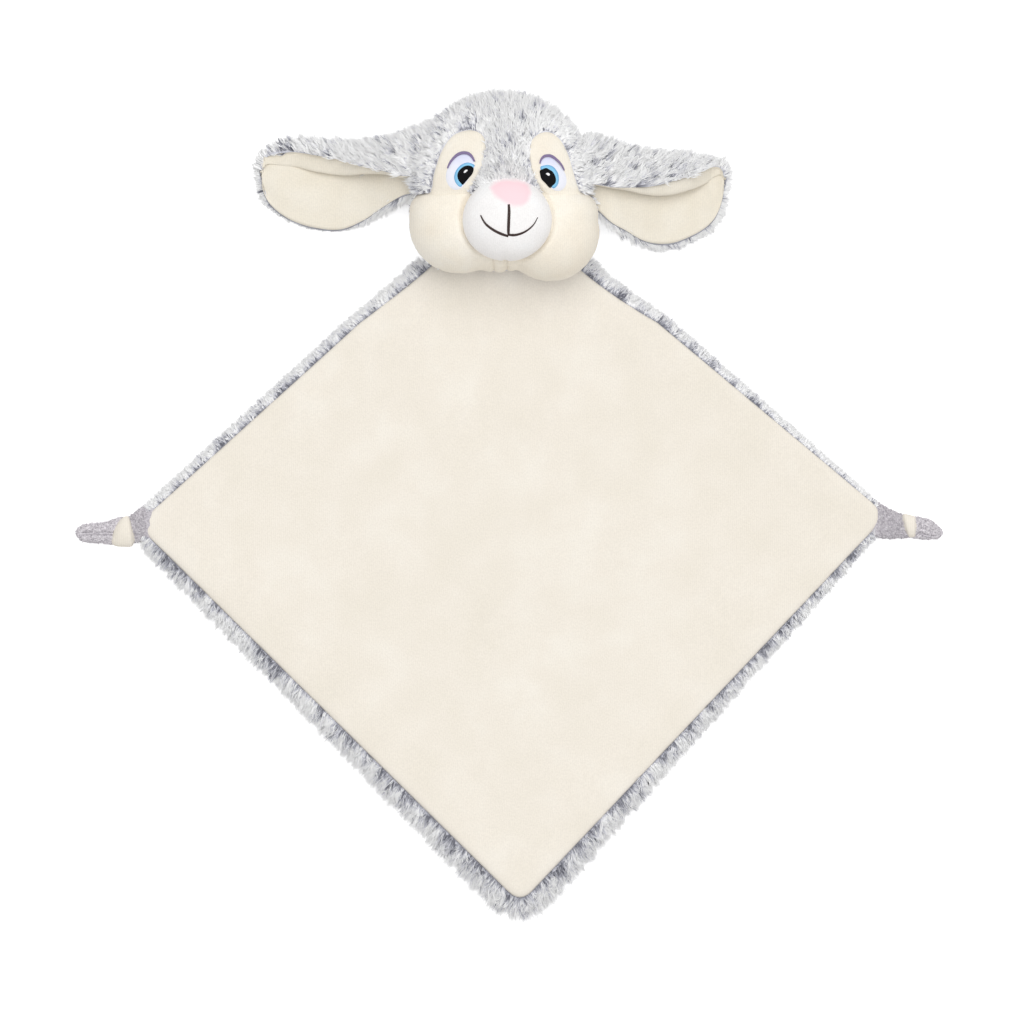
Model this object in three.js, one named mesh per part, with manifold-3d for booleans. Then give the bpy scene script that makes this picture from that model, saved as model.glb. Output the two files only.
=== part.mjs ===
// A comfort blanket: a thin square blanket with a stuffed rabbit's head sewn to its top corner.
// It lies flat on its fur back. +Z comes out of the cream front and +Y points to the head.
// Millimetres. The origin is on the flat underside, midway between the two arms.

import * as THREE from "three";
import { mergeVertices } from "three/addons/utils/BufferGeometryUtils.js";
import Module from "manifold-3d";

const wasm = await Module();
wasm.setup();

// Gap left between pieces that are sewn together, and the overrun of every cut.
const seamGap = 0.3;
const overrun = 20;

// Blanket: a square of velour on a square of fur, a little askew as it lies.
const panelHalfWidth = 243.5;
const panelUpperReach = 212;
const panelLowerReach = 247.5;
const sideCornerRise = 3.2;
const topCornerShift = -5.8;
const bottomTipShift = 3.6;
const sideCornerCut = 9.8;
const tipRounding = 11;
const neckWidth = 98;
const neckEdgeY = 168;
const neckShift = -1.6;
const shoulderDrop = 19;
const furBorder = 10;
const furBed = 6;
const blanketHeight = 10.4;
const velourThickness = 2.4;
const velourPuffHeight = 1.3;
const gatherDepth = 0.7;
const gatherPitch = 15;
const gatherReach = 55;

// Head: a crown and two cheeks, round at the seam that runs about their sides.
const faceX = -4.5;
const crownHalfWidth = 57;
const crownHalfLength = 57.5;
const crownAboveNeck = 59;
const crownShift = 4.5;
const seamHeight = 32;
const crownRise = 38;
const cheekHalfWidth = 33;
const cheekHalfLength = 32.5;
const cheekSpacing = 29.5;
const cheekAboveNeck = 27;
const cheekStepDown = 2.5;
const cheekRise = 36;
const restCut = 0.5;
const coverThickness = 3;
const cheekSeamAboveNeck = 50;
const chinGussetWidth = 8.5;
const chinGussetShift = -3;
const chinHalfWidth = 25;
const chinHalfLength = 22;
const chinRise = 32;
const chinAboveNeck = 24.5;
const neckBaseHalfLength = 16;
const neckBaseRise = 16;

// Eye patches let into the crown, and the eyes sewn on them.
const patchSpacingShare = 0.535;
const eyeSpacingShare = 0.5;
const patchHalfWidthShare = 0.29;
const patchHalfWidth = crownHalfWidth * patchHalfWidthShare;
const patchHalfLength = 36;
const patchSpacing = crownHalfWidth * patchSpacingShare;
const patchAboveNeck = 54;
const patchTiltDegrees = 8;
const eyeSpacing = crownHalfWidth * eyeSpacingShare;
const eyeAboveNeck = 63;
const threadHeight = 1;
const eyeWhiteHalfWidth = 10;
const eyeWhiteHalfHeight = 12.5;
const irisHalfWidth = 7.4;
const irisHalfHeight = 8.6;
const pupilHalfWidth = 5.2;
const pupilHalfHeight = 6.3;
const highlightHalfWidth = 1.5;
const highlightHalfHeight = 1;
const lidLineWidth = 1.6;

// Muzzle: an egg-shaped ball on the face, with a sewn mouth.
const muzzleHalfWidth = 28.8;
const muzzleHalfLength = 27.5;
const muzzleShift = 1.2;
const muzzleAboveNeck = 33;
const muzzleMiddle = 60;
const muzzleRise = 28;
const mouthWidth = 1.6;
const mouthAboveNeck = 22;
const philtrumLength = 19;
const smileHalfWidth = 18;
const smileRise = 12.5;

// Ears: long flaps of fur with a velour lining, their upper edge folded forward.
const earStandOff = 4.5;
const earSpread = 60;
const earRootRadius = 8.5;
const earBundle = 20;
const earLip = 8;
const earLiningInset = 3;
const leftEarLength = 105;
const rightEarLength = 80;
const leftEarAboveNeck = 67;
const rightEarAboveNeck = 56;
const earRaiseDegrees = 80;
const earDropDegrees = 12;

// Arms: knotted corners of short plush, grey with a cream knot.
const armInset = 4.5;
const armLength = 45;
const armRootRadius = 5;
const armRootHalfWidth = 10;
const armKnotHalfWidth = 8.5;
const armKnotHalfHeight = 7.5;
const armTipHalfWidth = 6.2;
const armTipRadius = 4.5;
const armSag = 6;
const armSwingDegrees = 85;
const armTipSwingDegrees = 60;

// The head tips forward over the blanket and back under it.
const nodForwardDegrees = 50;
const nodBackDegrees = 60;

const neckRadius = blanketHeight / 2;
const neckAxisY = neckEdgeY - neckRadius;
const seamRadius = neckRadius + seamGap;

const finish = {
  fur: { color: 0xd5d7dc, roughness: 0.95 },
  velour: { color: 0xf5ede0, roughness: 0.9 },
  whiteVelour: { color: 0xf7f5f3, roughness: 0.9 },
  greyPlush: { color: 0xbdb8c0, roughness: 0.92 },
  stuffing: { color: 0xfafafa, roughness: 1 },
  eyeWhite: { color: 0xe3ddf8, roughness: 0.6 },
  iris: { color: 0x7ec5f0, roughness: 0.5 },
  pupil: { color: 0x14171c, roughness: 0.45 },
  highlight: { color: 0xffffff, roughness: 0.5 },
  lidLine: { color: 0x7d6c90, roughness: 0.6 },
  mouth: { color: 0x35211d, roughness: 0.6 },
};

const lovey = new THREE.Group();

// Each piece is cut and joined as one closed body.

function solidOf(geometry) {
  const bare = new THREE.BufferGeometry();
  bare.setAttribute("position", geometry.getAttribute("position"));
  if (geometry.index) bare.setIndex(geometry.index);
  const merged = mergeVertices(bare);
  return new wasm.Manifold(
    new wasm.Mesh({
      numProp: 3,
      vertProperties: new Float32Array(merged.attributes.position.array),
      triVerts: new Uint32Array(merged.index.array),
    }),
  );
}

function addPiece(name, solid, look) {
  const cut = solid.getMesh();
  const geometry = new THREE.BufferGeometry();
  geometry.setAttribute("position", new THREE.BufferAttribute(cut.vertProperties, 3));
  geometry.setIndex(new THREE.BufferAttribute(cut.triVerts, 1));
  geometry.computeVertexNormals();
  const mesh = new THREE.Mesh(geometry, new THREE.MeshStandardMaterial({ ...look, metalness: 0 }));
  mesh.name = name;
  lovey.add(mesh);
}

const joined = (solids) => solids.reduce((all, next) => all.add(next));

// Rings of equal counts, stacked from the first to the last, closed by a fan at each end.
function ringSolid(rings, firstCentre, lastCentre) {
  const count = rings[0].length;
  const points = [firstCentre, ...rings.flat(), lastCentre];
  const last = points.length - 1;
  const faces = [];
  for (let j = 0; j < count; j++) {
    const next = (j + 1) % count;
    faces.push(0, 1 + next, 1 + j);
    faces.push(last, last - count + j, last - count + next);
    for (let ring = 0; ring < rings.length - 1; ring++) {
      const low = 1 + ring * count;
      const high = low + count;
      faces.push(low + j, low + next, high + next);
      faces.push(low + j, high + next, high + j);
    }
  }
  const geometry = new THREE.BufferGeometry().setFromPoints(points);
  geometry.setIndex(faces);
  return solidOf(geometry);
}

// A stuffed form: round in plan, with its own height above and below its widest level.
function puff({ x, y, z, halfWidth, halfLength, rise, fall, boxiness }) {
  const around = 22;
  const fallRows = 3;
  const riseRows = 5;
  const rings = [];
  for (let row = 1 - fallRows; row < riseRows; row++) {
    const below = row < 0;
    const angle = (Math.PI / 2) * (row / (below ? fallRows : riseRows));
    const power = below ? 2 / boxiness : 1;
    const spread = Math.cos(angle) ** power;
    const height = Math.abs(Math.sin(angle)) ** power * (below ? -fall : rise);
    rings.push(
      Array.from({ length: around }, (_, j) => {
        const turn = (2 * Math.PI * j) / around;
        return new THREE.Vector3(
          x + halfWidth * spread * Math.cos(turn),
          y + halfLength * spread * Math.sin(turn),
          z + height,
        );
      }),
    );
  }
  return ringSolid(rings, new THREE.Vector3(x, y, z - fall), new THREE.Vector3(x, y, z + rise));
}

function box(low, high) {
  const size = high.clone().sub(low);
  const middle = high.clone().add(low).multiplyScalar(1 / 2);
  const geometry = new THREE.BoxGeometry(size.x, size.y, size.z);
  return solidOf(geometry.translate(middle.x, middle.y, middle.z));
}

// An upright cut: the outline seen from above, run through the whole depth.
function upright(outline, low, high) {
  const geometry = new THREE.ExtrudeGeometry(new THREE.Shape(outline), {
    depth: high - low,
    bevelEnabled: false,
  });
  return solidOf(geometry.translate(0, 0, low));
}

function ellipse(x, y, halfWidth, halfHeight, tilt = 0, count = 20) {
  const curve = new THREE.EllipseCurve(
    x, y, halfWidth, halfHeight, 0, 2 * Math.PI, false, THREE.MathUtils.degToRad(tilt),
  );
  return curve.getPoints(count).slice(0, count);
}

// The outline of a sewn line, from the points along its middle.
function strip(middle, width) {
  const left = [];
  const right = [];
  middle.forEach((point, i) => {
    const before = middle[Math.max(i - 1, 0)];
    const after = middle[Math.min(i + 1, middle.length - 1)];
    const side = after.clone().sub(before).normalize().multiplyScalar(width / 2);
    left.push(new THREE.Vector2(point.x - side.y, point.y + side.x));
    right.unshift(new THREE.Vector2(point.x + side.y, point.y - side.x));
  });
  return [...left, ...right];
}

// What a hinged piece sweeps: a slab of a given half thickness that turns about an axis.
// The section is drawn across the axis, from one limit of the turn to the other.
function sweptSection(radius, fromDegrees, toDegrees, reach) {
  const from = THREE.MathUtils.degToRad(fromDegrees);
  const to = THREE.MathUtils.degToRad(toDegrees);
  const quarter = Math.PI / 2;
  const at = (angle, distance) =>
    new THREE.Vector2(distance * Math.cos(angle), distance * Math.sin(angle));
  const steps = 8;
  const section = [at(from - quarter, radius).add(at(from, reach))];
  for (let i = 0; i <= steps; i++) {
    section.push(at(from - quarter - ((2 * Math.PI - 2 * quarter - (to - from)) * i) / steps, radius));
  }
  section.push(at(to + quarter, radius).add(at(to, reach)));
  for (let i = 1; i < steps; i++) {
    section.push(at(to - ((to - from) * i) / steps, 2 * reach));
  }
  return section;
}

// The same for a slab that points out to one side and swings down and up from level.
function swungSection(way, radius, downDegrees, upDegrees, reach) {
  const halfTurn = 180;
  return way > 0
    ? sweptSection(radius, -downDegrees, upDegrees, reach)
    : sweptSection(radius, halfTurn - upDegrees, halfTurn + downDegrees, reach);
}

// Runs a section along X; its own first axis becomes Y and its second Z.
function alongX(section, from, to, y, z) {
  const geometry = new THREE.ExtrudeGeometry(new THREE.Shape(section), {
    depth: to - from,
    bevelEnabled: false,
  });
  geometry.rotateX(Math.PI / 2).rotateZ(Math.PI / 2);
  return solidOf(geometry.translate(from, y, z));
}

// Runs a section along Y; its own first axis becomes X and its second Z.
function alongY(section, from, to, x, z) {
  const geometry = new THREE.ExtrudeGeometry(new THREE.Shape(section), {
    depth: to - from,
    bevelEnabled: false,
  });
  geometry.rotateX(Math.PI / 2);
  return solidOf(geometry.translate(x, to, z));
}

// The blanket's outline, with how far the fur stands out past each point as a share of the border.
const furShares = {
  neck: 0,
  upperLeft: 1,
  side: 0.6,
  lowerLeft: 1.25,
  tip: 1.6,
  lowerRight: 1,
  upperRight: 0.65,
};

function blanketOutline() {
  const left = new THREE.Vector2(-panelHalfWidth, -sideCornerRise);
  const right = new THREE.Vector2(panelHalfWidth, sideCornerRise);
  const tip = new THREE.Vector2(bottomTipShift, -panelLowerReach);
  const top = new THREE.Vector2(topCornerShift, panelUpperReach);
  const along = (from, to, distance) =>
    to.clone().sub(from).normalize().multiplyScalar(distance).add(from);
  const cutBack = (corner, to) => corner.clone().lerp(to, sideCornerCut / Math.abs(to.x - corner.x));
  const atHeight = (corner, y) => corner.clone().lerp(top, (y - corner.y) / (top.y - corner.y));
  const shoulderY = neckEdgeY - shoulderDrop;
  const neckLeft = new THREE.Vector2(neckShift - neckWidth / 2, neckEdgeY);
  const neckRight = new THREE.Vector2(neckShift + neckWidth / 2, neckEdgeY);
  const outline = [];
  const add = (from, to, bend, count, furFrom, furTo) => {
    const curve = new THREE.QuadraticBezierCurve(from, bend ?? from.clone().lerp(to, 1 / 2), to);
    for (let i = 0; i < count; i++) {
      const share = i / count;
      outline.push({ point: curve.getPoint(share), fur: furFrom + (furTo - furFrom) * share });
    }
  };
  const leftShoulder = atHeight(left, shoulderY);
  const rightShoulder = atHeight(right, shoulderY);
  const beforeTip = along(tip, left, tipRounding);
  const afterTip = along(tip, right, tipRounding);
  const { neck, upperLeft, side, lowerLeft, tip: atTip, lowerRight, upperRight } = furShares;
  add(neckRight, neckLeft, null, 24, neck, neck);
  add(neckLeft, leftShoulder, atHeight(left, neckEdgeY), 4, neck, upperLeft);
  add(leftShoulder, cutBack(left, top), null, 9, upperLeft, upperLeft);
  add(cutBack(left, top), cutBack(left, tip), null, 3, upperLeft, side);
  add(cutBack(left, tip), beforeTip, null, 12, side, lowerLeft);
  add(beforeTip, afterTip, tip, 4, lowerLeft, atTip);
  add(afterTip, cutBack(right, tip), null, 12, atTip, lowerRight);
  add(cutBack(right, tip), cutBack(right, top), null, 3, lowerRight, side);
  add(cutBack(right, top), rightShoulder, null, 9, side, upperRight);
  add(rightShoulder, neckRight, atHeight(right, neckEdgeY), 4, upperRight, neck);
  return outline.map(({ point, fur }, i) => {
    const before = outline.at(i - 1).point;
    const after = outline[(i + 1) % outline.length].point;
    const run = after.clone().sub(before).normalize();
    return { point, fur, outward: new THREE.Vector2(run.y, -run.x) };
  });
}

const outline = blanketOutline();
const blanketMiddle = new THREE.Vector2(0, (neckEdgeY - panelLowerReach) / 2);

// The fur back: flat below, with a rim that rolls up round the edge of the front.
function backPanel() {
  const rimShares = [
    { out: 0.7, up: 0 },
    { out: 1, up: 0.35 },
    { out: 0.85, up: 0.75 },
    { out: 0.45, up: 1 },
  ];
  const ring = (grow, z) =>
    outline.map(({ point, outward, fur }) => {
      const spot = outward.clone().multiplyScalar(grow(fur)).add(point);
      return new THREE.Vector3(spot.x, spot.y, z);
    });
  const rings = rimShares.map(({ out, up }) =>
    ring((fur) => seamGap + furBorder * fur * out, blanketHeight * up),
  );
  rings.push(ring(() => seamGap, blanketHeight - velourThickness / 2));
  rings.push(ring(() => seamGap, furBed));
  const centre = (z) => new THREE.Vector3(blanketMiddle.x, blanketMiddle.y, z);
  return ringSolid(rings, centre(0), centre(furBed));
}

// The velour front: drawn down at its seam, slightly puffed, with soft gathers under the chin.
function frontPanel() {
  const floor = furBed + seamGap;
  const puffShares = [
    { inward: 0.012, up: 0.5 },
    { inward: 0.05, up: 0.9 },
    { inward: 0.14, up: 1 },
    { inward: 0.3, up: 0.8 },
    { inward: 0.55, up: 0.7 },
    { inward: 0.8, up: 0.75 },
  ];
  const gather = (spot) => {
    const fade = Math.max(0, 1 - (neckEdgeY - spot.y) / gatherReach);
    const middle = Math.max(0, 1 - Math.abs((spot.x - neckShift) / (neckWidth / 2)));
    return gatherDepth * fade * middle * Math.cos((2 * Math.PI * (spot.x - neckShift)) / gatherPitch);
  };
  const ring = (inward, z) =>
    outline.map(({ point }) => {
      const spot = point.clone().lerp(blanketMiddle, inward);
      return new THREE.Vector3(spot.x, spot.y, z + (inward > 0 ? gather(spot) : 0));
    });
  const rings = [ring(0, floor), ring(0, floor + velourThickness / 2)];
  for (const { inward, up } of puffShares) {
    rings.push(ring(inward, floor + velourThickness + velourPuffHeight * up));
  }
  const top = floor + velourThickness + velourPuffHeight * puffShares.at(-1).up;
  return ringSolid(
    rings,
    new THREE.Vector3(blanketMiddle.x, blanketMiddle.y, floor),
    new THREE.Vector3(blanketMiddle.x, blanketMiddle.y, top),
  );
}

// The neck edge is rounded about the line on which the head tips.
function roundedNeck(piece) {
  const reach = panelHalfWidth + furBorder + overrun;
  const depth = panelLowerReach + furBorder * furShares.tip + overrun;
  const flat = box(
    new THREE.Vector3(-reach, -depth, -overrun),
    new THREE.Vector3(reach, neckAxisY, blanketHeight + overrun),
  );
  const round = alongX(ellipse(0, 0, neckRadius, neckRadius), -reach, reach, neckAxisY, neckRadius);
  return piece.intersect(flat.add(round));
}

// Where each arm is sewn in, and how long its root, knot and tip are as shares of its length.
const arms = [
  { side: "left", way: -1, rootShare: 0.2, knotShare: 0.3 },
  { side: "right", way: 1, rootShare: 0.36, knotShare: 0.16 },
];
const armAxisX = panelHalfWidth - armInset;

// Sections of a knot and of a tip: how far along each lies, and its half sizes.
const armKnotShares = [
  { along: 0, width: 0.85, height: 0.8 },
  { along: 0.25, width: 1, height: 1 },
  { along: 0.75, width: 0.95, height: 1 },
  { along: 1, width: 0.8, height: 0.75 },
];
const armTipShares = [
  { along: 0, width: 1, height: 1 },
  { along: 0.6, width: 0.95, height: 1 },
  { along: 0.88, width: 0.7, height: 0.9 },
  { along: 1, width: 0.3, height: 0.6 },
];

function armSlot({ way }) {
  const y = way * sideCornerRise;
  const half = armRootHalfWidth + seamGap;
  const section = swungSection(way, armRootRadius + seamGap, armSwingDegrees, armSwingDegrees, armLength);
  return alongY(section, y - half - armSag, y + half, way * armAxisX, armRootRadius);
}

const armSlots = joined(arms.map(armSlot));
addPiece("blanket_back_panel", roundedNeck(backPanel()).subtract(armSlots), finish.fur);
addPiece("blanket_front_panel", roundedNeck(frontPanel()).subtract(armSlots), finish.velour);

// A rounded bar along X from boxy sections, each with its own middle and half sizes.
function bar(sections, way) {
  const count = 14;
  const boxShare = 0.7;
  const rings = sections.map(({ x, y, z, halfWidth, halfHeight }) =>
    Array.from({ length: count }, (_, j) => {
      const turn = (way * 2 * Math.PI * j) / count;
      const boxy = (value) => Math.sign(value) * Math.abs(value) ** boxShare;
      const across = halfWidth * boxy(Math.cos(turn));
      const up = halfHeight * boxy(Math.sin(turn));
      return new THREE.Vector3(x, y + across, z + up);
    }),
  );
  const end = ({ x, y, z }) => new THREE.Vector3(x, y, z);
  return ringSolid(rings, end(sections[0]), end(sections.at(-1)));
}

function addArm({ side, way, rootShare, knotShare }) {
  const rootEnd = armLength * rootShare;
  const knotEnd = rootEnd + armLength * knotShare;
  const rootY = way * sideCornerRise;
  const spot = (out, halfWidth, halfHeight) => ({
    x: way * (armAxisX + out),
    y: rootY - armSag * Math.min(1, Math.max(0, out) / knotEnd),
    z: halfHeight,
    halfWidth,
    halfHeight,
  });
  const round = (radius, x, from, to) => alongY(ellipse(0, 0, radius, radius), from, to, x, radius);
  const beyond = (x, far) =>
    box(
      new THREE.Vector3(Math.min(x, x + way * far), -panelLowerReach, -overrun),
      new THREE.Vector3(Math.max(x, x + way * far), panelUpperReach, blanketHeight + overrun),
    );

  const rootSections = [
    spot(-armRootRadius, armRootHalfWidth, armRootRadius),
    spot(0, armRootHalfWidth, armRootRadius),
    spot(rootEnd / 2, (armRootHalfWidth + armKnotHalfWidth) / 2, armRootRadius),
    spot(rootEnd - seamGap, armKnotHalfWidth - seamGap, armRootRadius),
  ];
  const rootKeep = beyond(way * armAxisX, armLength).add(
    round(armRootRadius, way * armAxisX, rootY - armRootHalfWidth, rootY + armRootHalfWidth),
  );
  addPiece(`${side}_arm_root`, bar(rootSections, way).intersect(rootKeep), finish.greyPlush);

  const tipAxis = knotEnd + armTipRadius;
  const tipAxisX = way * (armAxisX + tipAxis);
  const knotSpan = knotEnd - rootEnd;
  const knotSections = armKnotShares.map(({ along, width, height }) =>
    spot(rootEnd + knotSpan * along, armKnotHalfWidth * width, armKnotHalfHeight * height),
  );
  const tipSweep = alongY(
    swungSection(way, armTipRadius + seamGap, armTipSwingDegrees, armTipSwingDegrees, armLength),
    -panelLowerReach,
    panelUpperReach,
    tipAxisX,
    armTipRadius,
  );
  addPiece(`${side}_arm_knot`, bar(knotSections, way).subtract(tipSweep), finish.velour);

  const tipLength = armLength - tipAxis;
  const tipSections = armTipShares.map(({ along, width, height }) =>
    spot(tipAxis + tipLength * along, armTipHalfWidth * width, armTipRadius * height),
  );
  tipSections.unshift(spot(tipAxis - armTipRadius, armTipHalfWidth, armTipRadius));
  const tipKeep = beyond(tipAxisX, armLength).add(
    round(armTipRadius, tipAxisX, -panelLowerReach, panelUpperReach),
  );
  addPiece(`${side}_arm_tip`, bar(tipSections, way).intersect(tipKeep), finish.greyPlush);
}

arms.forEach(addArm);

// Head: the outer form, or the same form drawn in by a thickness.
const crownX = faceX + crownShift;

function headForm(inset) {
  const crown = puff({
    x: crownX,
    y: neckAxisY + crownAboveNeck,
    z: seamHeight,
    halfWidth: crownHalfWidth - inset,
    halfLength: crownHalfLength - inset,
    rise: crownRise - inset,
    fall: seamHeight + restCut - inset,
    boxiness: 3,
  });
  const cheek = (way) =>
    puff({
      x: faceX + way * cheekSpacing,
      y: neckAxisY + cheekAboveNeck - way * cheekStepDown,
      z: seamHeight,
      halfWidth: cheekHalfWidth - inset,
      halfLength: cheekHalfLength - inset,
      rise: cheekRise - inset,
      fall: seamHeight + restCut - inset,
      boxiness: 3,
    });
  const chin = puff({
    x: faceX + chinGussetShift,
    y: neckAxisY + chinAboveNeck,
    z: seamHeight,
    halfWidth: chinHalfWidth - inset,
    halfLength: chinHalfLength - inset,
    rise: chinRise - inset,
    fall: seamHeight + restCut - inset,
    boxiness: 3,
  });
  const neckBase = puff({
    x: neckShift,
    y: neckAxisY + neckBaseHalfLength / 2,
    z: neckRadius,
    halfWidth: neckWidth / 2 - inset,
    halfLength: neckBaseHalfLength - inset,
    rise: neckBaseRise - inset,
    fall: neckRadius + restCut - Math.min(inset, neckRadius / 2),
    boxiness: 4,
  });
  return joined([crown, cheek(-1), cheek(1), chin, neckBase]);
}

// Ears: sections across the ear, from the root to the tip, as shares of its length and spread.
const ears = [
  {
    side: "left",
    way: -1,
    length: leftEarLength,
    y: neckAxisY + leftEarAboveNeck,
    shares: [
      { out: 0, top: 0.45, flap: -0.11, low: -0.43, lift: 1, bundle: 0.85 },
      { out: 0.09, top: 0.38, flap: -0.09, low: -0.42, lift: 0.97, bundle: 0.85 },
      { out: 0.2, top: 0.33, flap: -0.06, low: -0.48, lift: 0.62, bundle: 1 },
      { out: 0.34, top: 0.29, flap: 0.01, low: -0.62, lift: 0.28, bundle: 1 },
      { out: 0.49, top: 0.29, flap: 0.07, low: -0.71, lift: 0.08, bundle: 0.95 },
      { out: 0.7, top: 0.31, flap: 0.13, low: -0.65, lift: 0, bundle: 0.85 },
      { out: 0.85, top: 0.27, flap: 0.14, low: -0.51, lift: 0, bundle: 0.7 },
      { out: 0.95, top: 0.2, flap: 0.1, low: -0.38, lift: 0, bundle: 0.55 },
      { out: 1, top: 0.13, flap: 0.04, low: -0.15, lift: 0, bundle: 0.4 },
    ],
  },
  {
    side: "right",
    way: 1,
    length: rightEarLength,
    y: neckAxisY + rightEarAboveNeck,
    shares: [
      { out: 0, top: 0.48, flap: -0.05, low: -0.53, lift: 1, bundle: 0.85 },
      { out: 0.15, top: 0.42, flap: -0.06, low: -0.63, lift: 0.7, bundle: 1 },
      { out: 0.3, top: 0.38, flap: -0.05, low: -0.7, lift: 0.4, bundle: 1 },
      { out: 0.5, top: 0.35, flap: 0, low: -0.74, lift: 0.12, bundle: 0.95 },
      { out: 0.71, top: 0.33, flap: 0.08, low: -0.63, lift: 0, bundle: 0.85 },
      { out: 0.86, top: 0.31, flap: 0.15, low: -0.49, lift: 0, bundle: 0.7 },
      { out: 0.95, top: 0.25, flap: 0.12, low: -0.2, lift: 0, bundle: 0.5 },
      { out: 1, top: 0.17, flap: 0.08, low: -0.06, lift: 0, bundle: 0.4 },
    ],
  },
];
const earFurShare = 0.29;
const earLiningShare = 0.14;
const earAxisX = (way) => crownX + way * (crownHalfWidth + earStandOff);

// The middle line of one layer of the folded ear, across it from the lower edge to the flap's edge.
function foldedLine({ top, flap, low, base, height }, wall, inset, lowInset, lip) {
  const radius = height / 2 - inset - wall / 2;
  const foldY = top - height / 2;
  const line = [];
  const runs = 3;
  const lowEnd = Math.min(low + lowInset, foldY - height / 2);
  for (let i = 0; i < runs; i++) {
    line.push(new THREE.Vector2(lowEnd + ((foldY - lowEnd) * i) / runs, base + height / 2 - radius));
  }
  const turns = 6;
  for (let i = 0; i <= turns; i++) {
    const angle = Math.PI * (i / turns - 1 / 2);
    const bend = new THREE.Vector2(radius * Math.cos(angle), radius * Math.sin(angle));
    line.push(bend.add(new THREE.Vector2(foldY, base + height / 2)));
  }
  const edge = Math.min(flap, foldY - height / 4) - lip;
  line.push(new THREE.Vector2((foldY + edge) / 2, base + height / 2 + radius));
  line.push(new THREE.Vector2(edge, base + height / 2 + radius));
  return line;
}

function earLayer({ way, length, y, shares }, layer) {
  const rows = shares.slice(0, layer.lastRow).map((row) => ({
    x: earAxisX(way) + way * length * row.out,
    top: y + earSpread * row.top,
    flap: y + earSpread * row.flap,
    low: y + earSpread * row.low,
    base: (seamHeight - earRootRadius) * row.lift,
    height: earBundle * row.bundle,
  }));
  rows[0].height = 2 * earRootRadius;
  rows.unshift({ ...rows[0], x: rows[0].x - way * (earRootRadius + seamGap) });
  const sections = rows.map((row) => {
    const wall = row.height * layer.share;
    const inset = layer.inner ? row.height * earFurShare + seamGap : 0;
    const middle = foldedLine(row, wall, inset, layer.lowInset, layer.lip);
    return strip(middle, wall).map((spot) => new THREE.Vector3(row.x, spot.x, spot.y));
  });
  return layerSolid(way > 0 ? sections : sections.map((section) => [...section].reverse()));
}

// A layer's sections end to end, each a closed loop whose two halves face each other.
function layerSolid(sections) {
  const count = sections[0].length;
  const faces = [];
  sections.slice(1).forEach((_, ring) => {
    for (let j = 0; j < count; j++) {
      const next = (j + 1) % count;
      const near = ring * count;
      const far = near + count;
      faces.push(near + j, far + next, near + next);
      faces.push(near + j, far + j, far + next);
    }
  });
  const lastRing = (sections.length - 1) * count;
  for (let j = 0; j < count / 2 - 1; j++) {
    const across = count - 1 - j;
    faces.push(j, j + 1, across - 1);
    faces.push(j, across - 1, across);
    faces.push(lastRing + j, lastRing + across - 1, lastRing + j + 1);
    faces.push(lastRing + j, lastRing + across, lastRing + across - 1);
  }
  const geometry = new THREE.BufferGeometry().setFromPoints(sections.flat());
  geometry.setIndex(faces);
  return solidOf(geometry);
}

function earRootSpan({ y, shares }) {
  return { from: y + earSpread * shares[0].low, to: y + earSpread * shares[0].top };
}

function earSlot(ear) {
  const { from, to } = earRootSpan(ear);
  const section = swungSection(ear.way, earRootRadius + seamGap, earDropDegrees, earRaiseDegrees, crownHalfWidth);
  return alongY(section, from - seamGap, to + seamGap, earAxisX(ear.way), seamHeight);
}

function addEar(ear) {
  const { from, to } = earRootSpan(ear);
  const axisX = earAxisX(ear.way);
  const farX = axisX + ear.way * (ear.length + overrun);
  const outside = box(
    new THREE.Vector3(Math.min(axisX, farX), from - earSpread, -overrun),
    new THREE.Vector3(Math.max(axisX, farX), to + earSpread, seamHeight + crownRise),
  );
  const round = alongY(ellipse(0, 0, earRootRadius, earRootRadius), from, to, axisX, seamHeight);
  const keep = outside.add(round);
  const fur = { share: earFurShare, inner: false, lowInset: 0, lip: 0 };
  const lining = { share: earLiningShare, inner: true, lowInset: earLiningInset, lip: earLip, lastRow: -1 };
  addPiece(`${ear.side}_ear_back`, earLayer(ear, fur).intersect(keep), finish.fur);
  addPiece(`${ear.side}_ear_lining`, earLayer(ear, lining).intersect(keep), finish.velour);
}

// Cuts that keep the head clear of the blanket and of the ears as they swing.
const headReach = crownHalfWidth + cheekHalfWidth + cheekSpacing;
const neckSweep = alongX(
  swungSection(-1, seamRadius, nodBackDegrees, nodForwardDegrees, crownHalfLength),
  faceX - headReach,
  faceX + headReach,
  neckAxisY,
  neckRadius,
);
const headCuts = joined([neckSweep, ...ears.map(earSlot)]);
const headTop = seamHeight + crownRise + muzzleRise + overrun;
const headDepth = neckAxisY + crownAboveNeck + crownHalfLength + overrun;
const slab = (low, high) =>
  box(new THREE.Vector3(-headReach, 0, low), new THREE.Vector3(headReach, headDepth, high));

const covers = headForm(0).subtract(headForm(coverThickness)).subtract(headCuts);
const backCover = covers.intersect(slab(0, seamHeight - seamGap / 2));
const faceCover = covers.intersect(slab(seamHeight + seamGap / 2, headTop));
const headFill = headForm(coverThickness + seamGap).subtract(headCuts).intersect(slab(0, headTop));
addPiece("head_stuffing", headFill, finish.stuffing);
addPiece("head_back_panel", backCover, finish.fur);

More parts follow.
